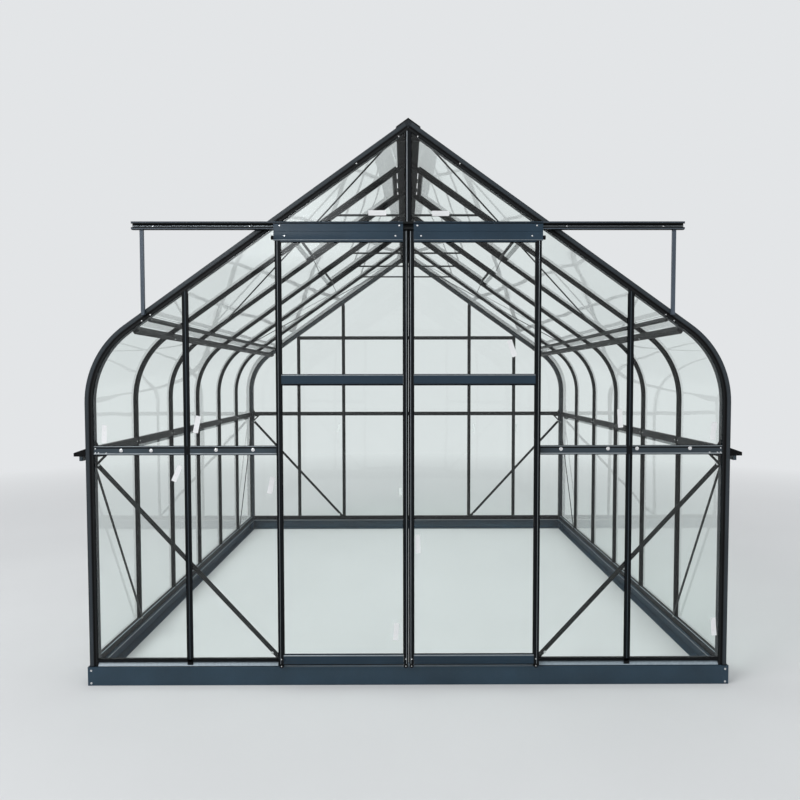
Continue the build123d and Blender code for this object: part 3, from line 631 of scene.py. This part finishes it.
def skin_bar_seals():
    """Seal beads beside the caps and lips of the bars in the side walls, bends and roof."""
    ends = [(half_width, 0, height) for height in (sill_top + wall_seal_gap, side_low - seat_gap)]
    wall = straight(*ends, to_right)
    for name, half, foot, crown, steps in (
        ("outer", cap_half, -glass_outer + seal_clearance, outer_seal_crown, 24),
        ("inner", lip_half, -glass_inner - seal_clearance, inner_seal_crown, 16),
    ):
        mesh = bmesh.new()
        section = half_round(half + seal_start, half + seal_end, foot, crown)
        at_edge = [(a - half, b) for a, b in section]
        bend = skin_line(side_high + seat_gap, pane_top_distance, steps)
        for row in bar_rows:
            for side in (-1, 1):
                for line in (wall, bend):
                    add_sweep(mesh, moved_line(line, row), Vector((0, side, 0)), section, side_mirrors)
        for edge, turn in ((-inner_half_length, 1), (inner_half_length, -1)):
            for line in (wall, bend):
                add_sweep(mesh, moved_line(line, edge), Vector((0, turn, 0)), at_edge, side_mirrors)
        make_piece(f"{name}_bar_seals", mesh, rubber)


def add_upright_beads(mesh, end, x, spans):
    """Two beads on the gable glass beside an upright's cap, from one height to another."""
    for low, high in spans:
        for side in (-1, 1):
            ends = [(x + side * cap_half, end * (half_length - glass_outer), z) for z in (low, high)]
            line = straight(*ends, (0, end, 0))
            add_sweep(mesh, line, Vector((side, 0, 0)), glass_bead)


def gable_glass_seals():
    """Seal beads beside the uprights and rails of both gables."""
    mesh = bmesh.new()
    for x in (-glazing_bar_x, glazing_bar_x):
        top = gable_height(abs(x) + cap_half)
        spans = ((sill_top + seat_gap, mid_low - seat_gap), (mid_high + seat_gap, top))
        add_upright_beads(mesh, -1, x, spans)
    add_upright_beads(mesh, -1, 0, ((transom_top + seat_gap, gable_height(cap_half)),))
    rear_low = rear_mid_z - rear_rail_half
    rear_high = rear_mid_z + rear_rail_half
    for x in (-glazing_bar_x, -jamb_x, 0, jamb_x, glazing_bar_x):
        top = gable_height(abs(x) + cap_half)
        spans = ((sill_top + seat_gap, rear_low - seat_gap), (rear_high + seat_gap, top))
        if abs(x) < glazing_bar_x:
            under = (rear_high + seat_gap, upper_rail_z - rear_rail_half - seat_gap)
            spans = (spans[0], under, (upper_rail_z + rear_rail_half + seat_gap, top))
        add_upright_beads(mesh, 1, x, spans)
    outer_span = (glazing_bar_x + cap_half, post_inner)
    front_spans = ((jamb_half, glazing_bar_x - cap_half), outer_span)
    rear_spans = ((cap_half, jamb_x - cap_half), (jamb_x + cap_half, glazing_bar_x - cap_half), outer_span)
    for end, spans, low, high in ((-1, front_spans, mid_low, mid_high), (1, rear_spans, rear_low, rear_high)):
        face = end * (half_length - glass_outer)
        for start_x, end_x in spans:
            for height, turn in ((sill_top, 1), (low, -1), (high, 1)):
                for side in (-1, 1):
                    line = straight((side * start_x, face, height), (side * end_x, face, height), (0, end, 0))
                    add_sweep(mesh, line, Vector((0, 0, turn)), glass_bead)
    make_piece("gable_glass_seals", mesh, rubber)


def door_seals(side, name):
    """Black beads round the two panes of a door, on both faces of the glass."""
    mesh = bmesh.new()
    inner = leaf_low.x + stile_width
    outer = leaf_high.x - stile_width
    flips = ((side, 1),)
    bead = half_round(seal_start, door_seal_end, seal_clearance, door_seal_crown)
    for low, high in ((door_foot_top, door_rail_low), (door_rail_high, top_rail_low)):
        for face, out in ((pane_low.y, -1), (pane_high.y, 1)):
            for edge, turn in ((inner, 1), (outer, -1)):
                line = straight((edge, face, low), (edge, face, high), (0, out, 0))
                add_sweep(mesh, line, Vector((turn, 0, 0)), bead, flips)
            for edge, turn in ((low, 1), (high, -1)):
                line = straight((inner, face, edge), (outer, face, edge), (0, out, 0))
                add_sweep(mesh, line, Vector((0, 0, turn)), bead, flips)
    make_piece(f"{name}_door_seals", mesh, rubber, body=f"{name}_door")


gable_bar_seals()
skin_bar_seals()
gable_glass_seals()
door_seals(-1, "left")
door_seals(1, "right")


# Lines of the metal sections

def gable_bar_bands():
    """Raised outer and inner bands on the faces of the gable bars, either side of the groove; the outer bands
    are painted lighter than the bars, a painted sheen.
    """
    shoulder, crown, ease = -0.0004, -0.0010, 0.0008
    for name, start, end, material in (
        ("outer_bands", 0.0012, 0.0178, band_sheen_paint), ("inner_bands", 0.0306, 0.0393, inner_paint)
    ):
        mesh = bmesh.new()
        section = (
            (-bead_foot, -start), (-bead_foot, -end), (shoulder, -end), (crown, -end + ease),
            (crown, -start - ease), (shoulder, -start),
        )
        add_sweep(mesh, gable_line(), Vector(to_rear), section, mirrors)
        make_piece(f"gable_bar_{name}", mesh, material)


def upright_ridges():
    """Narrow ridges down the caps of the front glazing bars in the lighter rail paint, a painted sheen; the
    middle one off centre and in the light bead paint, partly bare metal and partly a painted highlight.
    """
    mesh = bmesh.new()
    crown, side_width, middle_width = 0.0012, 0.0035, 0.0036
    for x in (glazing_bar_x, -glazing_bar_x):
        for low, high in ((sill_top, mid_low), (mid_high, gable_height(abs(x)))):
            ends = ((x, gable_face, low), (x, gable_face, high))
            add_bead(mesh, ends, to_front, to_right, side_width, crown)
    make_piece("upright_ridges", mesh, rail_sheen_paint)
    mesh = bmesh.new()
    ends = [(middle_ridge_x, gable_face, height) for height in (transom_top, gable_height(0) - 0.004)]
    add_bead(mesh, ends, to_front, to_right, middle_width, crown)
    make_piece("middle_bar_ridge", mesh, bare_and_highlight_paint)


def bar_feet():
    """Feet of the front glazing bars' caps, down over the slope of the sill."""
    mesh = bmesh.new()
    ends = [(glazing_bar_x, gable_face, height) for height in (bar_foot_low, sill_top + seat_gap)]
    add_strip(mesh, ends, to_front, to_right, 2 * cap_half, -cap_thickness, 0.0, side_mirrors)
    make_piece("bar_feet", mesh, black_paint)


def rail_lines():
    """Light beads along both edges of the front mid rails, partly bare metal and partly painted highlights,
    and a black strip under the upper bead.
    """
    beads = bmesh.new()
    strips = bmesh.new()
    end_room = 0.0005
    bead_lines = ((mid_low + 0.0046, 0.0066, 0.0024), (mid_high - 0.0018, 0.0034, 0.0014))
    strip_z, strip_width, strip_crown = mid_high - 0.0084, 0.0060, 0.0005
    for start, end in ((jamb_half, glazing_bar_x - cap_half), (glazing_bar_x + cap_half, post_inner)):
        for side in (-1, 1):
            reach = (side * (start + end_room), side * (end - end_room))
            for height, width, crown in bead_lines:
                ends = [(x, gable_face, height) for x in reach]
                add_bead(beads, ends, to_front, to_top, width, crown)
            ends = [(x, gable_face, strip_z) for x in reach]
            add_strip(strips, ends, to_front, to_top, strip_width, bead_foot, strip_crown)
    make_piece("rail_beads", beads, bare_and_highlight_paint)
    make_piece("rail_strips", strips, rubber)


def sill_strips():
    """Light strip on the slope of each sill and a light bead on the side sills' inner edge, both painted
    highlights where the sill faces the light.
    """
    mesh = bmesh.new()
    foot = base_top + seat_gap
    up_slope = 0.0125
    end_room = 0.001
    strip = {"width": 0.021, "foot": 0.0001, "crown": 0.0008}
    rise = Vector((0, sill_slope_run, sill_slope_rise)).normalized()
    out = Vector((0, -sill_slope_rise, sill_slope_run)).normalized()
    place = Vector((0, gable_face - sill_nose, foot)) + rise * up_slope
    reach = post_inner - end_room
    for start, flips in ((jamb_half + end_room, side_mirrors), (-reach, ((1, -1),))):
        ends = [(x, place.y, place.z) for x in (start, reach)]
        add_strip(mesh, ends, out, rise, flips=flips, **strip)
    rise = Vector((-sill_slope_run, 0, sill_slope_rise)).normalized()
    out = Vector((sill_slope_rise, 0, sill_slope_run)).normalized()
    place = Vector((half_width + sill_nose, 0, foot)) + rise * up_slope
    reach = inner_half_length - end_room
    ends = [(place.x, y, place.z) for y in (-reach, reach)]
    add_strip(mesh, ends, out, rise, flips=side_mirrors, **strip)
    bead_width, bead_crown = 0.0036, 0.0016
    inner_edge = half_width - sill_depth + 0.0020
    edges = [-inner_half_length, *bar_rows, inner_half_length]
    for low, high in zip(edges, edges[1:]):
        ends = [(inner_edge, y, sill_top) for y in (low + cap_half, high - cap_half)]
        add_bead(mesh, ends, to_top, to_right, bead_width, bead_crown, side_mirrors)
    make_piece("sill_strips", mesh, sill_highlight_paint)


def base_lips():
    """Rolled lip along the inner edge of the base rails' upper flange, light: partly bare metal and partly a
    painted highlight.
    """
    mesh = bmesh.new()
    inner_x = base_half - base_lip
    inner_y = -base_front - base_lip
    height = base_top - 0.0012
    lip = {"width": 0.0050, "crown": 0.0024, "foot": -0.0010}
    end_room = 0.002
    reach = inner_x - end_room
    ends = [(x, -inner_y, height) for x in (-reach, reach)]
    add_bead(mesh, ends, to_rear, to_top, flips=end_mirrors, **lip)
    reach = inner_y - end_room
    ends = [(inner_x, y, height) for y in (-reach, reach)]
    add_bead(mesh, ends, to_left, to_top, flips=side_mirrors, **lip)
    make_piece("base_lips", mesh, bare_and_highlight_paint)


def track_lines():
    """Beads on the lips of the door track, and a light ridge inside it that is partly bare metal and partly a
    painted highlight.
    """
    lips = bmesh.new()
    ridge = bmesh.new()
    start, end = 0.030, track_high.x - 0.001
    crown = 0.0009
    for mesh, face, height, width in (
        (lips, track_low.y, track_high.z - 0.0036, 0.0040),
        (lips, track_low.y, track_low.z + 0.0036, 0.0042),
        (ridge, track_high.y - track_wall, track_high.z - 0.0180, 0.0034),
    ):
        ends = [(x, face, height) for x in (start, end)]
        add_bead(mesh, ends, to_front, to_top, width, crown, side_mirrors)
    make_piece("track_beads", lips, post_paint)
    make_piece("track_ridge", ridge, bare_and_highlight_paint)


# Doors

def slotted_profile(low, high, slots, line):
    """Section of a door rail: its face with one fine groove, and the slots for the glass."""
    depth = leaf_half_depth
    ease = 0.0010
    line_floor = depth - 0.0014
    line_half, line_floor_half = 0.0012, 0.0009
    points = [(low + ease, depth), (line - line_half, depth), (line - line_floor_half, line_floor)]
    points += [(line + line_floor_half, line_floor), (line + line_half, depth)]
    points += [(high - ease, depth), (high, depth - ease)]
    if high in slots:
        points += [(high, pane_slot_half), (high - pane_slot_depth, pane_slot_half)]
        points += [(high - pane_slot_depth, -pane_slot_half), (high, -pane_slot_half)]
    points += [(high, ease - depth), (high - ease, -depth), (low + ease, -depth), (low, ease - depth)]
    if low in slots:
        points += [(low, -pane_slot_half), (low + pane_slot_depth, -pane_slot_half)]
        points += [(low + pane_slot_depth, pane_slot_half), (low, pane_slot_half)]
    points.append((low, depth - ease))
    return points


def door_rails(side, name):
    """Rails of a door and its top plate, with the plate's lines."""
    mesh = bmesh.new()
    up = Vector(to_top)
    flips = ((side, 1),)
    line = straight((rail_start, leaf_layer, 0), (rail_end, leaf_layer, 0), to_front)
    for low, high, slots, groove in (
        (leaf_low.z, door_foot_top, (door_foot_top,), leaf_low.z + 0.012),
        (door_rail_low, door_rail_high, (door_rail_low, door_rail_high), door_rail_low + 0.006),
        (top_rail_low, leaf_high.z, (top_rail_low,), leaf_high.z - 0.012),
    ):
        add_sweep(mesh, line, up, slotted_profile(low, high, slots, groove), flips)
    back = -(leaf_low.y - seat_gap)
    face = -plate_low.y - plate_inset
    swell = 0.0004
    line_half, floor_half, line_depth = 0.0012, 0.0006, 0.0008
    low, high = plate_bottom, plate_high.z
    section = (
        (low, back), (low, face - swell), (low + 0.0010, face + swell), (low + 0.0048, face + swell),
        (low + 0.0058, face), (plate_line - line_half, face), (plate_line - floor_half, face - line_depth),
        (plate_line + floor_half, face - line_depth), (plate_line + line_half, face), (high - 0.0110, face),
        (high - 0.0060, face - swell), (high - 0.0006, back + 0.0012), (high, back),
    )
    plate = straight((plate_low.x, 0, 0), (plate_high.x, 0, 0), to_front)
    add_sweep(mesh, plate, up, section, flips)
    piece = make_piece(f"{name}_door_rail_set", mesh, plate_paint, body=f"{name}_door")
    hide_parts(f"{name}_door_rails")


def door_lines(side, name):
    """Light beads and black strips on a door's plate, rails and stiles; the light beads are partly bare metal
    and partly painted highlights, and the black strip along the plate's top edge is painted shade.
    """
    beads = bmesh.new()
    strips = bmesh.new()
    flips = ((side, 1),)
    end_room = 0.0010
    plate_face = plate_low.y + plate_inset
    leaf_face = leaf_low.y
    plate_ends = (plate_low.x + end_room, plate_high.x - end_room)
    rail_ends = (rail_start, rail_end)
    for mesh, face, reach, height, width, crown in (
        (beads, plate_face, plate_ends, plate_bottom + 0.0029, 0.0026, 0.0011),
        # The black strip along the top edge of the plate is painted shade, drawn in black rubber.
        (strips, plate_face, plate_ends, plate_high.z - 0.0075, 0.0050, 0.0011),
        (beads, leaf_face, rail_ends, door_foot_top - 0.0032, 0.0058, 0.0016),
        (beads, leaf_face, rail_ends, door_rail_high - 0.0030, 0.0044, 0.0016),
        (strips, leaf_face, rail_ends, door_rail_low + 0.0030, 0.0040, 0.0016),
    ):
        ends = [(x, face, height) for x in reach]
        add_bead(mesh, ends, to_front, to_top, width, crown, flips)
    bottom = leaf_low.z + end_room
    for x, width in ((leaf_low.x + 0.0075, 0.0026), (leaf_high.x - 0.0075, 0.0018)):
        top = (plate_bottom if x > roller_places[0] else leaf_high.z) - end_room
        ends = ((x, leaf_face, bottom), (x, leaf_face, top))
        add_bead(beads, ends, to_front, to_right, width, 0.0010, flips)
    make_piece(f"{name}_door_beads", beads, bare_and_highlight_paint, body=f"{name}_door")
    make_piece(f"{name}_door_strips", strips, rubber, body=f"{name}_door")


def door_brushes(side, name):
    """Black brush strip on the meeting edge of a door, and a rubber edge below it."""
    mesh = bmesh.new()
    flips = ((side, 1),)
    width, crown, room = 0.0100, 0.0024, 0.004
    foot_size = 0.0080
    ends = [(leaf_low.x, leaf_layer, height) for height in (leaf_low.z + room, leaf_high.z - room)]
    add_bead(mesh, ends, to_left, to_rear, width, crown, flips)
    ends = [(x, leaf_layer, leaf_low.z) for x in (rail_start, rail_end)]
    add_bead(mesh, ends, to_ground, to_rear, foot_size, foot_size, flips)
    make_piece(f"{name}_door_brushes", mesh, rubber, body=f"{name}_door")


def door_screws(side, name):
    """Screw heads on a door's plate, stiles and glides, and the tip of its stop."""
    mesh = bmesh.new()
    plate_face = plate_low.y + plate_inset
    for places, height in ((roller_places, roller_z), (lower_screw_places, lower_screw_z)):
        for x in places:
            add_head(mesh, (side * x, plate_face, height), to_front, plate_screw, sides=14)
    for x in (leaf_low.x + stile_width / 2, leaf_high.x - stile_width / 2):
        add_head(mesh, (side * x, leaf_low.y, stile_screw_z), to_front, stile_screw)
        add_head(mesh, (side * x, glide_low.y, glide_screw_z), to_front, glide_screw)
    tip_x = glide_high.x - stop_tip[1]
    add_head(mesh, (side * tip_x, leaf_layer, bumper_z), (side, 0, 0), stop_tip)
    make_piece(f"{name}_door_screws", mesh, bright_steel, body=f"{name}_door")


# Fixings of the house

def gable_bolts():
    """Bolt heads on the mid rails, gusset plates, braces, base and ridge of the gables."""
    mesh = bmesh.new()
    for pixel in mid_rail_bolts:
        add_bolt(mesh, pixel_place(pixel, gable_face), to_front, mid_rail_bolt)
    for pixel in rail_end_screws:
        add_head(mesh, pixel_place(pixel, gable_face), to_front, rail_screw, side_mirrors)
    for pixel in gusset_screws:
        add_head(mesh, pixel_place(pixel, gable_face + gusset_depth), to_front, rail_screw, side_mirrors)
    for height in base_bolt_heights:
        add_bolt(mesh, (base_bolt_x, base_front, height), to_front, base_bolt, side_mirrors)
    for x, height in rafter_screw_places:
        add_head(mesh, (x, gable_face, height), to_front, rafter_screw, mirrors)
    for shift in joint_screw_shifts:
        place = slope_point(joint_distance + shift, joint_screw_inset)
        add_head(mesh, (place.x, gable_face, place.z), to_front, rafter_screw, mirrors)
    foot = pixel_place(brace_foot_pixel, gable_face + brace_inset)
    rear_face = half_length - brace_inset - brace_thickness
    for x, height in ((-foot.x, foot.z), brace_head):
        for y in (gable_face + brace_inset, rear_face):
            add_bolt(mesh, (x, y, height), to_front, gable_brace_bolt, side_mirrors)
    for x in (-glazing_bar_x, -jamb_x, jamb_x, glazing_bar_x):
        heights = (rear_mid_z,) if abs(x) > jamb_x else (rear_mid_z, upper_rail_z)
        for height in heights:
            for shift in rear_screw_shifts:
                add_head(mesh, (x + shift, half_length, height), to_rear, rear_screw)
    make_piece("gable_bolts", mesh, bright_steel)


def side_bolts():
    """Bolt heads along the side walls, eaves and ridge."""
    mesh = bmesh.new()
    rail_face = half_width - side_rail_depth
    purlin = slope_point(purlin_distance, purlin_screw_inset)
    ridge_flange = slope_point(ridge_screw_distance, -ridge_screw_lift)
    for row in bar_rows:
        for shift in side_rail_screw_shifts:
            add_head(mesh, (rail_face, row + shift, side_mid_z), to_left, side_rail_screw, side_mirrors)
        add_head(mesh, (purlin.x, row, purlin.z), slope_inward, purlin_screw, side_mirrors)
        add_head(mesh, (ridge_flange.x, row, ridge_flange.z), -slope_inward, ridge_screw, side_mirrors)
    brace_face = half_width - brace_inset - brace_thickness
    inset = 0.012
    for y, height in ((-inner_half_length + inset, brace_high), (bar_rows[0] - inset, brace_foot)):
        add_bolt(mesh, (brace_face, y, height), to_left, side_brace_bolt, mirrors)
    for y in base_screw_rows:
        add_head(mesh, (base_half, y, base_top / 2), to_right, base_screw, mirrors)
    make_piece("side_bolts", mesh, bright_steel)


def track_screws():
    """Screws in the back of the door track."""
    mesh = bmesh.new()
    height = (track_low.z + track_high.z) / 2
    for x in track_screw_places:
        add_head(mesh, (x, track_high.y - track_wall, height), to_front, track_screw, side_mirrors)
    make_piece("track_screws", mesh, bright_steel)


def weather_caps():
    """Black end caps of the weather rails."""
    mesh = bmesh.new()
    low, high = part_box("weather_rails")
    root = half_width + seat_gap
    nose = high.x - 0.0005
    foot = low.z + 0.022
    section = ((root, foot), (nose, foot), (nose, high.z - 0.0205), (root, high.z - 0.0005))
    line = straight((0, half_length - 0.0002, 0), (0, half_length + 0.0016, 0), to_top)
    add_sweep(mesh, line, Vector(to_right), section, mirrors)
    make_piece("weather_rail_caps", mesh, rubber)


def vent_fittings():
    """Hinge knuckles along the upper edge of each vent, and the pins of its stay."""
    hinges = bmesh.new()
    pins = bmesh.new()
    turns = [2 * pi * step / knuckle_sides for step in range(knuckle_sides)]
    circle = [(knuckle_radius * cos(turn), knuckle_radius * sin(turn)) for turn in turns]
    down = Vector((cos(pitch), 0, -sin(pitch)))
    out = -slope_inward
    axis = slope_point(0.067, -0.0052)
    leaf = slope_point(0.089, -0.0143)
    stay_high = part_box("vent_stays")[1]
    pin_out = (cos(stay_angle), 0, -sin(stay_angle))
    for row in (0, 2):
        middle = (bar_rows[row] + bar_rows[row + 1]) / 2
        for shift in hinge_shifts:
            for part in knuckle_starts:
                start = middle + shift + part
                line = straight((axis.x, start, axis.z), (axis.x, start + knuckle_length, axis.z), out)
                add_sweep(hinges, line, down, circle, side_mirrors)
            for part in hinge_screw_shifts:
                spot = (leaf.x, middle + shift + part, leaf.z)
                add_head(hinges, spot, out, hinge_screw, side_mirrors, knuckle_sides)
        for fall in stay_pin_falls:
            spot = (stay_high.x - 0.0022 - fall * tan(stay_angle), middle, stay_high.z - fall)
            add_head(pins, spot, pin_out, stay_pin, side_mirrors, knuckle_sides)
    make_piece("vent_hinges", hinges, inner_paint)
    make_piece("stay_pins", pins, bright_steel)


# Blank labels

def add_label(mesh, top, foot):
    """Paper strip between two places, facing the front, a little bowed along its length."""
    run = foot - top
    reach = run.length / 2
    down = run.normalized()
    across = down.cross(Vector(to_rear)).normalized()
    middle = (top + foot) / 2
    columns = (-1, -0.92, 0, 0.92, 1)
    rows = (-1, -0.97, -0.5, 0, 0.5, 0.97, 1)
    last_row = len(rows) - 1
    last_column = len(columns) - 1
    layers = []
    for lift in (0, label_thickness):
        grid = []
        for row in rows:
            line = []
            for column in columns:
                trim = label_corner if abs(row) == 1 and abs(column) == 1 else 1.0
                place = middle + down * reach * row * trim + across * (label_width / 2) * column * trim
                line.append(mesh.verts.new(place + Vector((0, -label_bow * row * row - lift, 0))))
            grid.append(line)
        layers.append(grid)
    for grid in layers:
        for i in range(last_row):
            for j in range(last_column):
                mesh.faces.new((grid[i][j], grid[i][j + 1], grid[i + 1][j + 1], grid[i + 1][j]))
    rim = [(0, j) for j in range(last_column)] + [(i, last_column) for i in range(last_row)]
    rim += [(last_row, j) for j in range(last_column, 0, -1)] + [(i, 0) for i in range(last_row, 0, -1)]
    for (i, j), (k, m) in zip(rim, rim[1:] + rim[:1]):
        mesh.faces.new((layers[0][i][j], layers[0][k][m], layers[1][k][m], layers[1][i][j]))


def labels():
    """The blank paper labels on the panes, each given by the pixels of its two ends."""
    panes = (
        ("house_labels", "house", gable_face + glass_outer, front_labels),
        ("rear_labels", "house", half_length - glass_inner, rear_labels),
        ("left_door_labels", "left_door", pane_low.y, left_door_labels),
        ("right_door_labels", "right_door", pane_low.y, right_door_labels),
    )
    for name, body, face, ends in panes:
        mesh = bmesh.new()
        for top, foot in ends:
            add_label(mesh, pixel_place(top, face - label_gap), pixel_place(foot, face - label_gap))
        make_piece(name, mesh, label_paper, body=body)


gable_bar_bands()
upright_ridges()
bar_feet()
rail_lines()
sill_strips()
base_lips()
track_lines()
for side, name in ((-1, "left"), (1, "right")):
    door_rails(side, name)
    door_lines(side, name)
    door_brushes(side, name)
    door_screws(side, name)
gable_bolts()
side_bolts()
track_screws()
weather_caps()
vent_fittings()
labels()


# Camera, light and floor

def add_camera():
    """The photograph's camera."""
    data = bpy.data.cameras.new("camera")
    data.sensor_width = sensor_width
    data.lens = focal_pixels * sensor_width / image_size
    data.shift_x = (image_size / 2 - axis_pixel[0]) / image_size
    data.shift_y = (axis_pixel[1] - image_size / 2) / image_size
    data.clip_end = 100
    camera = bpy.data.objects.new("camera", data)
    camera.location = eye
    camera.rotation_euler = camera_turn
    bpy.context.collection.objects.link(camera)
    bpy.context.scene.camera = camera


def add_plane(name, corners):
    """A flat piece of the stage with a material of its own."""
    mesh = bmesh.new()
    mesh.faces.new([mesh.verts.new(corner) for corner in corners])
    data = bpy.data.meshes.new(name)
    mesh.to_mesh(data)
    mesh.free()
    plane = bpy.data.objects.new(name, data)
    bpy.context.collection.objects.link(plane)
    made, tree, shader = new_material(name)
    data.materials.append(made)
    return plane, tree, shader


def add_floor():
    """Pale floor that keeps the object's shadow and fades into the background."""
    corners = ((-30, -30), (30, -30), (30, 30), (-30, 30))
    floor, tree, shader = add_plane("floor", [(x, y, -0.0005) for x, y in corners])
    cloud = object_noise(tree, 0.8)
    tones = ((0.3, (0.56, 0.57, 0.58)), (0.7, (0.58, 0.59, 0.60)))
    tree.links.new(colour_ramp(tree, cloud, tones), shader.inputs["Base Color"])
    shader.inputs["Roughness"].default_value = 0.9
    shader.inputs["Specular IOR Level"].default_value = 0.0
    glow = add_node(tree, "ShaderNodeEmission", Color=(1, 1, 1, 1), Strength=0.05)
    lit = tree.nodes.new("ShaderNodeAddShader")
    tree.links.new(shader.outputs[0], lit.inputs[0])
    tree.links.new(glow.outputs[0], lit.inputs[1])
    reach = tree.nodes.new("ShaderNodeVectorMath")
    reach.operation = "LENGTH"
    tree.links.new(object_space(tree), reach.inputs[0])
    far = value_range(tree, reach.outputs["Value"], 2.6, 9.0, 0.0, 1.0)
    white = add_node(tree, "ShaderNodeEmission", Color=studio_white, Strength=background_level)
    faded = mixed_shaders(tree, far, lit.outputs[0], white.outputs[0])
    surface = mixed_shaders(tree, seen_rays(tree), shader.outputs[0], faded)
    tree.links.new(surface, tree.nodes["Material Output"].inputs["Surface"])


def add_world():
    """Pale where it is seen or mirrored, and plain soft light elsewhere."""
    world = bpy.data.worlds.new("studio")
    world.use_nodes = True
    tree = world.node_tree
    light = tree.nodes["Background"]
    light.inputs["Color"].default_value = studio_white
    light.inputs["Strength"].default_value = ambient_level
    white = add_node(tree, "ShaderNodeBackground", Color=studio_white, Strength=background_level)
    surface = mixed_shaders(tree, seen_rays(tree), light.outputs[0], white.outputs[0])
    tree.links.new(surface, tree.nodes["World Output"].inputs["Surface"])
    bpy.context.scene.world = world


def add_lamp(name, place, aim, size, power):
    """A large soft lamp that looks at a place."""
    data = bpy.data.lights.new(name, "AREA")
    data.shape = "RECTANGLE"
    data.size, data.size_y = size
    data.energy = power
    lamp = bpy.data.objects.new(name, data)
    lamp.visible_camera = False
    lamp.visible_transmission = False
    lamp.location = place
    lamp.rotation_euler = (Vector(aim) - Vector(place)).to_track_quat("-Z", "Y").to_euler()
    bpy.context.collection.objects.link(lamp)


def add_card():
    """Soft-edged bright card behind the camera, meant for the gloss of the left top plate."""
    corners = ((-3.6, 2.75), (-0.2, 2.75), (-0.2, 3.85), (-3.6, 3.85))
    card, tree = add_plane("card", [(x, -7.0, z) for x, z in corners])[:2]
    height = object_axis(tree, "Z")
    strength = value_range(tree, object_axis(tree, "X"), -1.25, -0.30, card_level, 0.0)
    for low, high, to_low, to_high in ((2.80, 3.00, 0.0, 1.0), (3.60, 3.80, 1.0, 0.0)):
        edge = value_range(tree, height, low, high, to_low, to_high)
        strength = combined(tree, "MULTIPLY", strength, edge)
    glow = add_node(tree, "ShaderNodeEmission", Color=(0.92, 0.97, 1.0, 1))
    tree.links.new(strength, glow.inputs["Strength"])
    tree.links.new(glow.outputs[0], tree.nodes["Material Output"].inputs["Surface"])
    card.visible_camera = False
    card.visible_diffuse = False
    card.visible_transmission = False
    card.visible_shadow = False


add_camera()
add_floor()
add_world()
add_card()
add_lamp("key", (-5.5, -6.0, 7.0), (0, 0, 1.2), (5, 5), 520)
add_lamp("fill", (6.5, -4.0, 4.5), (0, 0, 1.2), (4, 4), 110)
add_lamp("top", (0, 1.0, 8.5), (0, 0, 1.0), (6, 6), 240)

bpy.context.scene.view_settings.view_transform = "Standard"
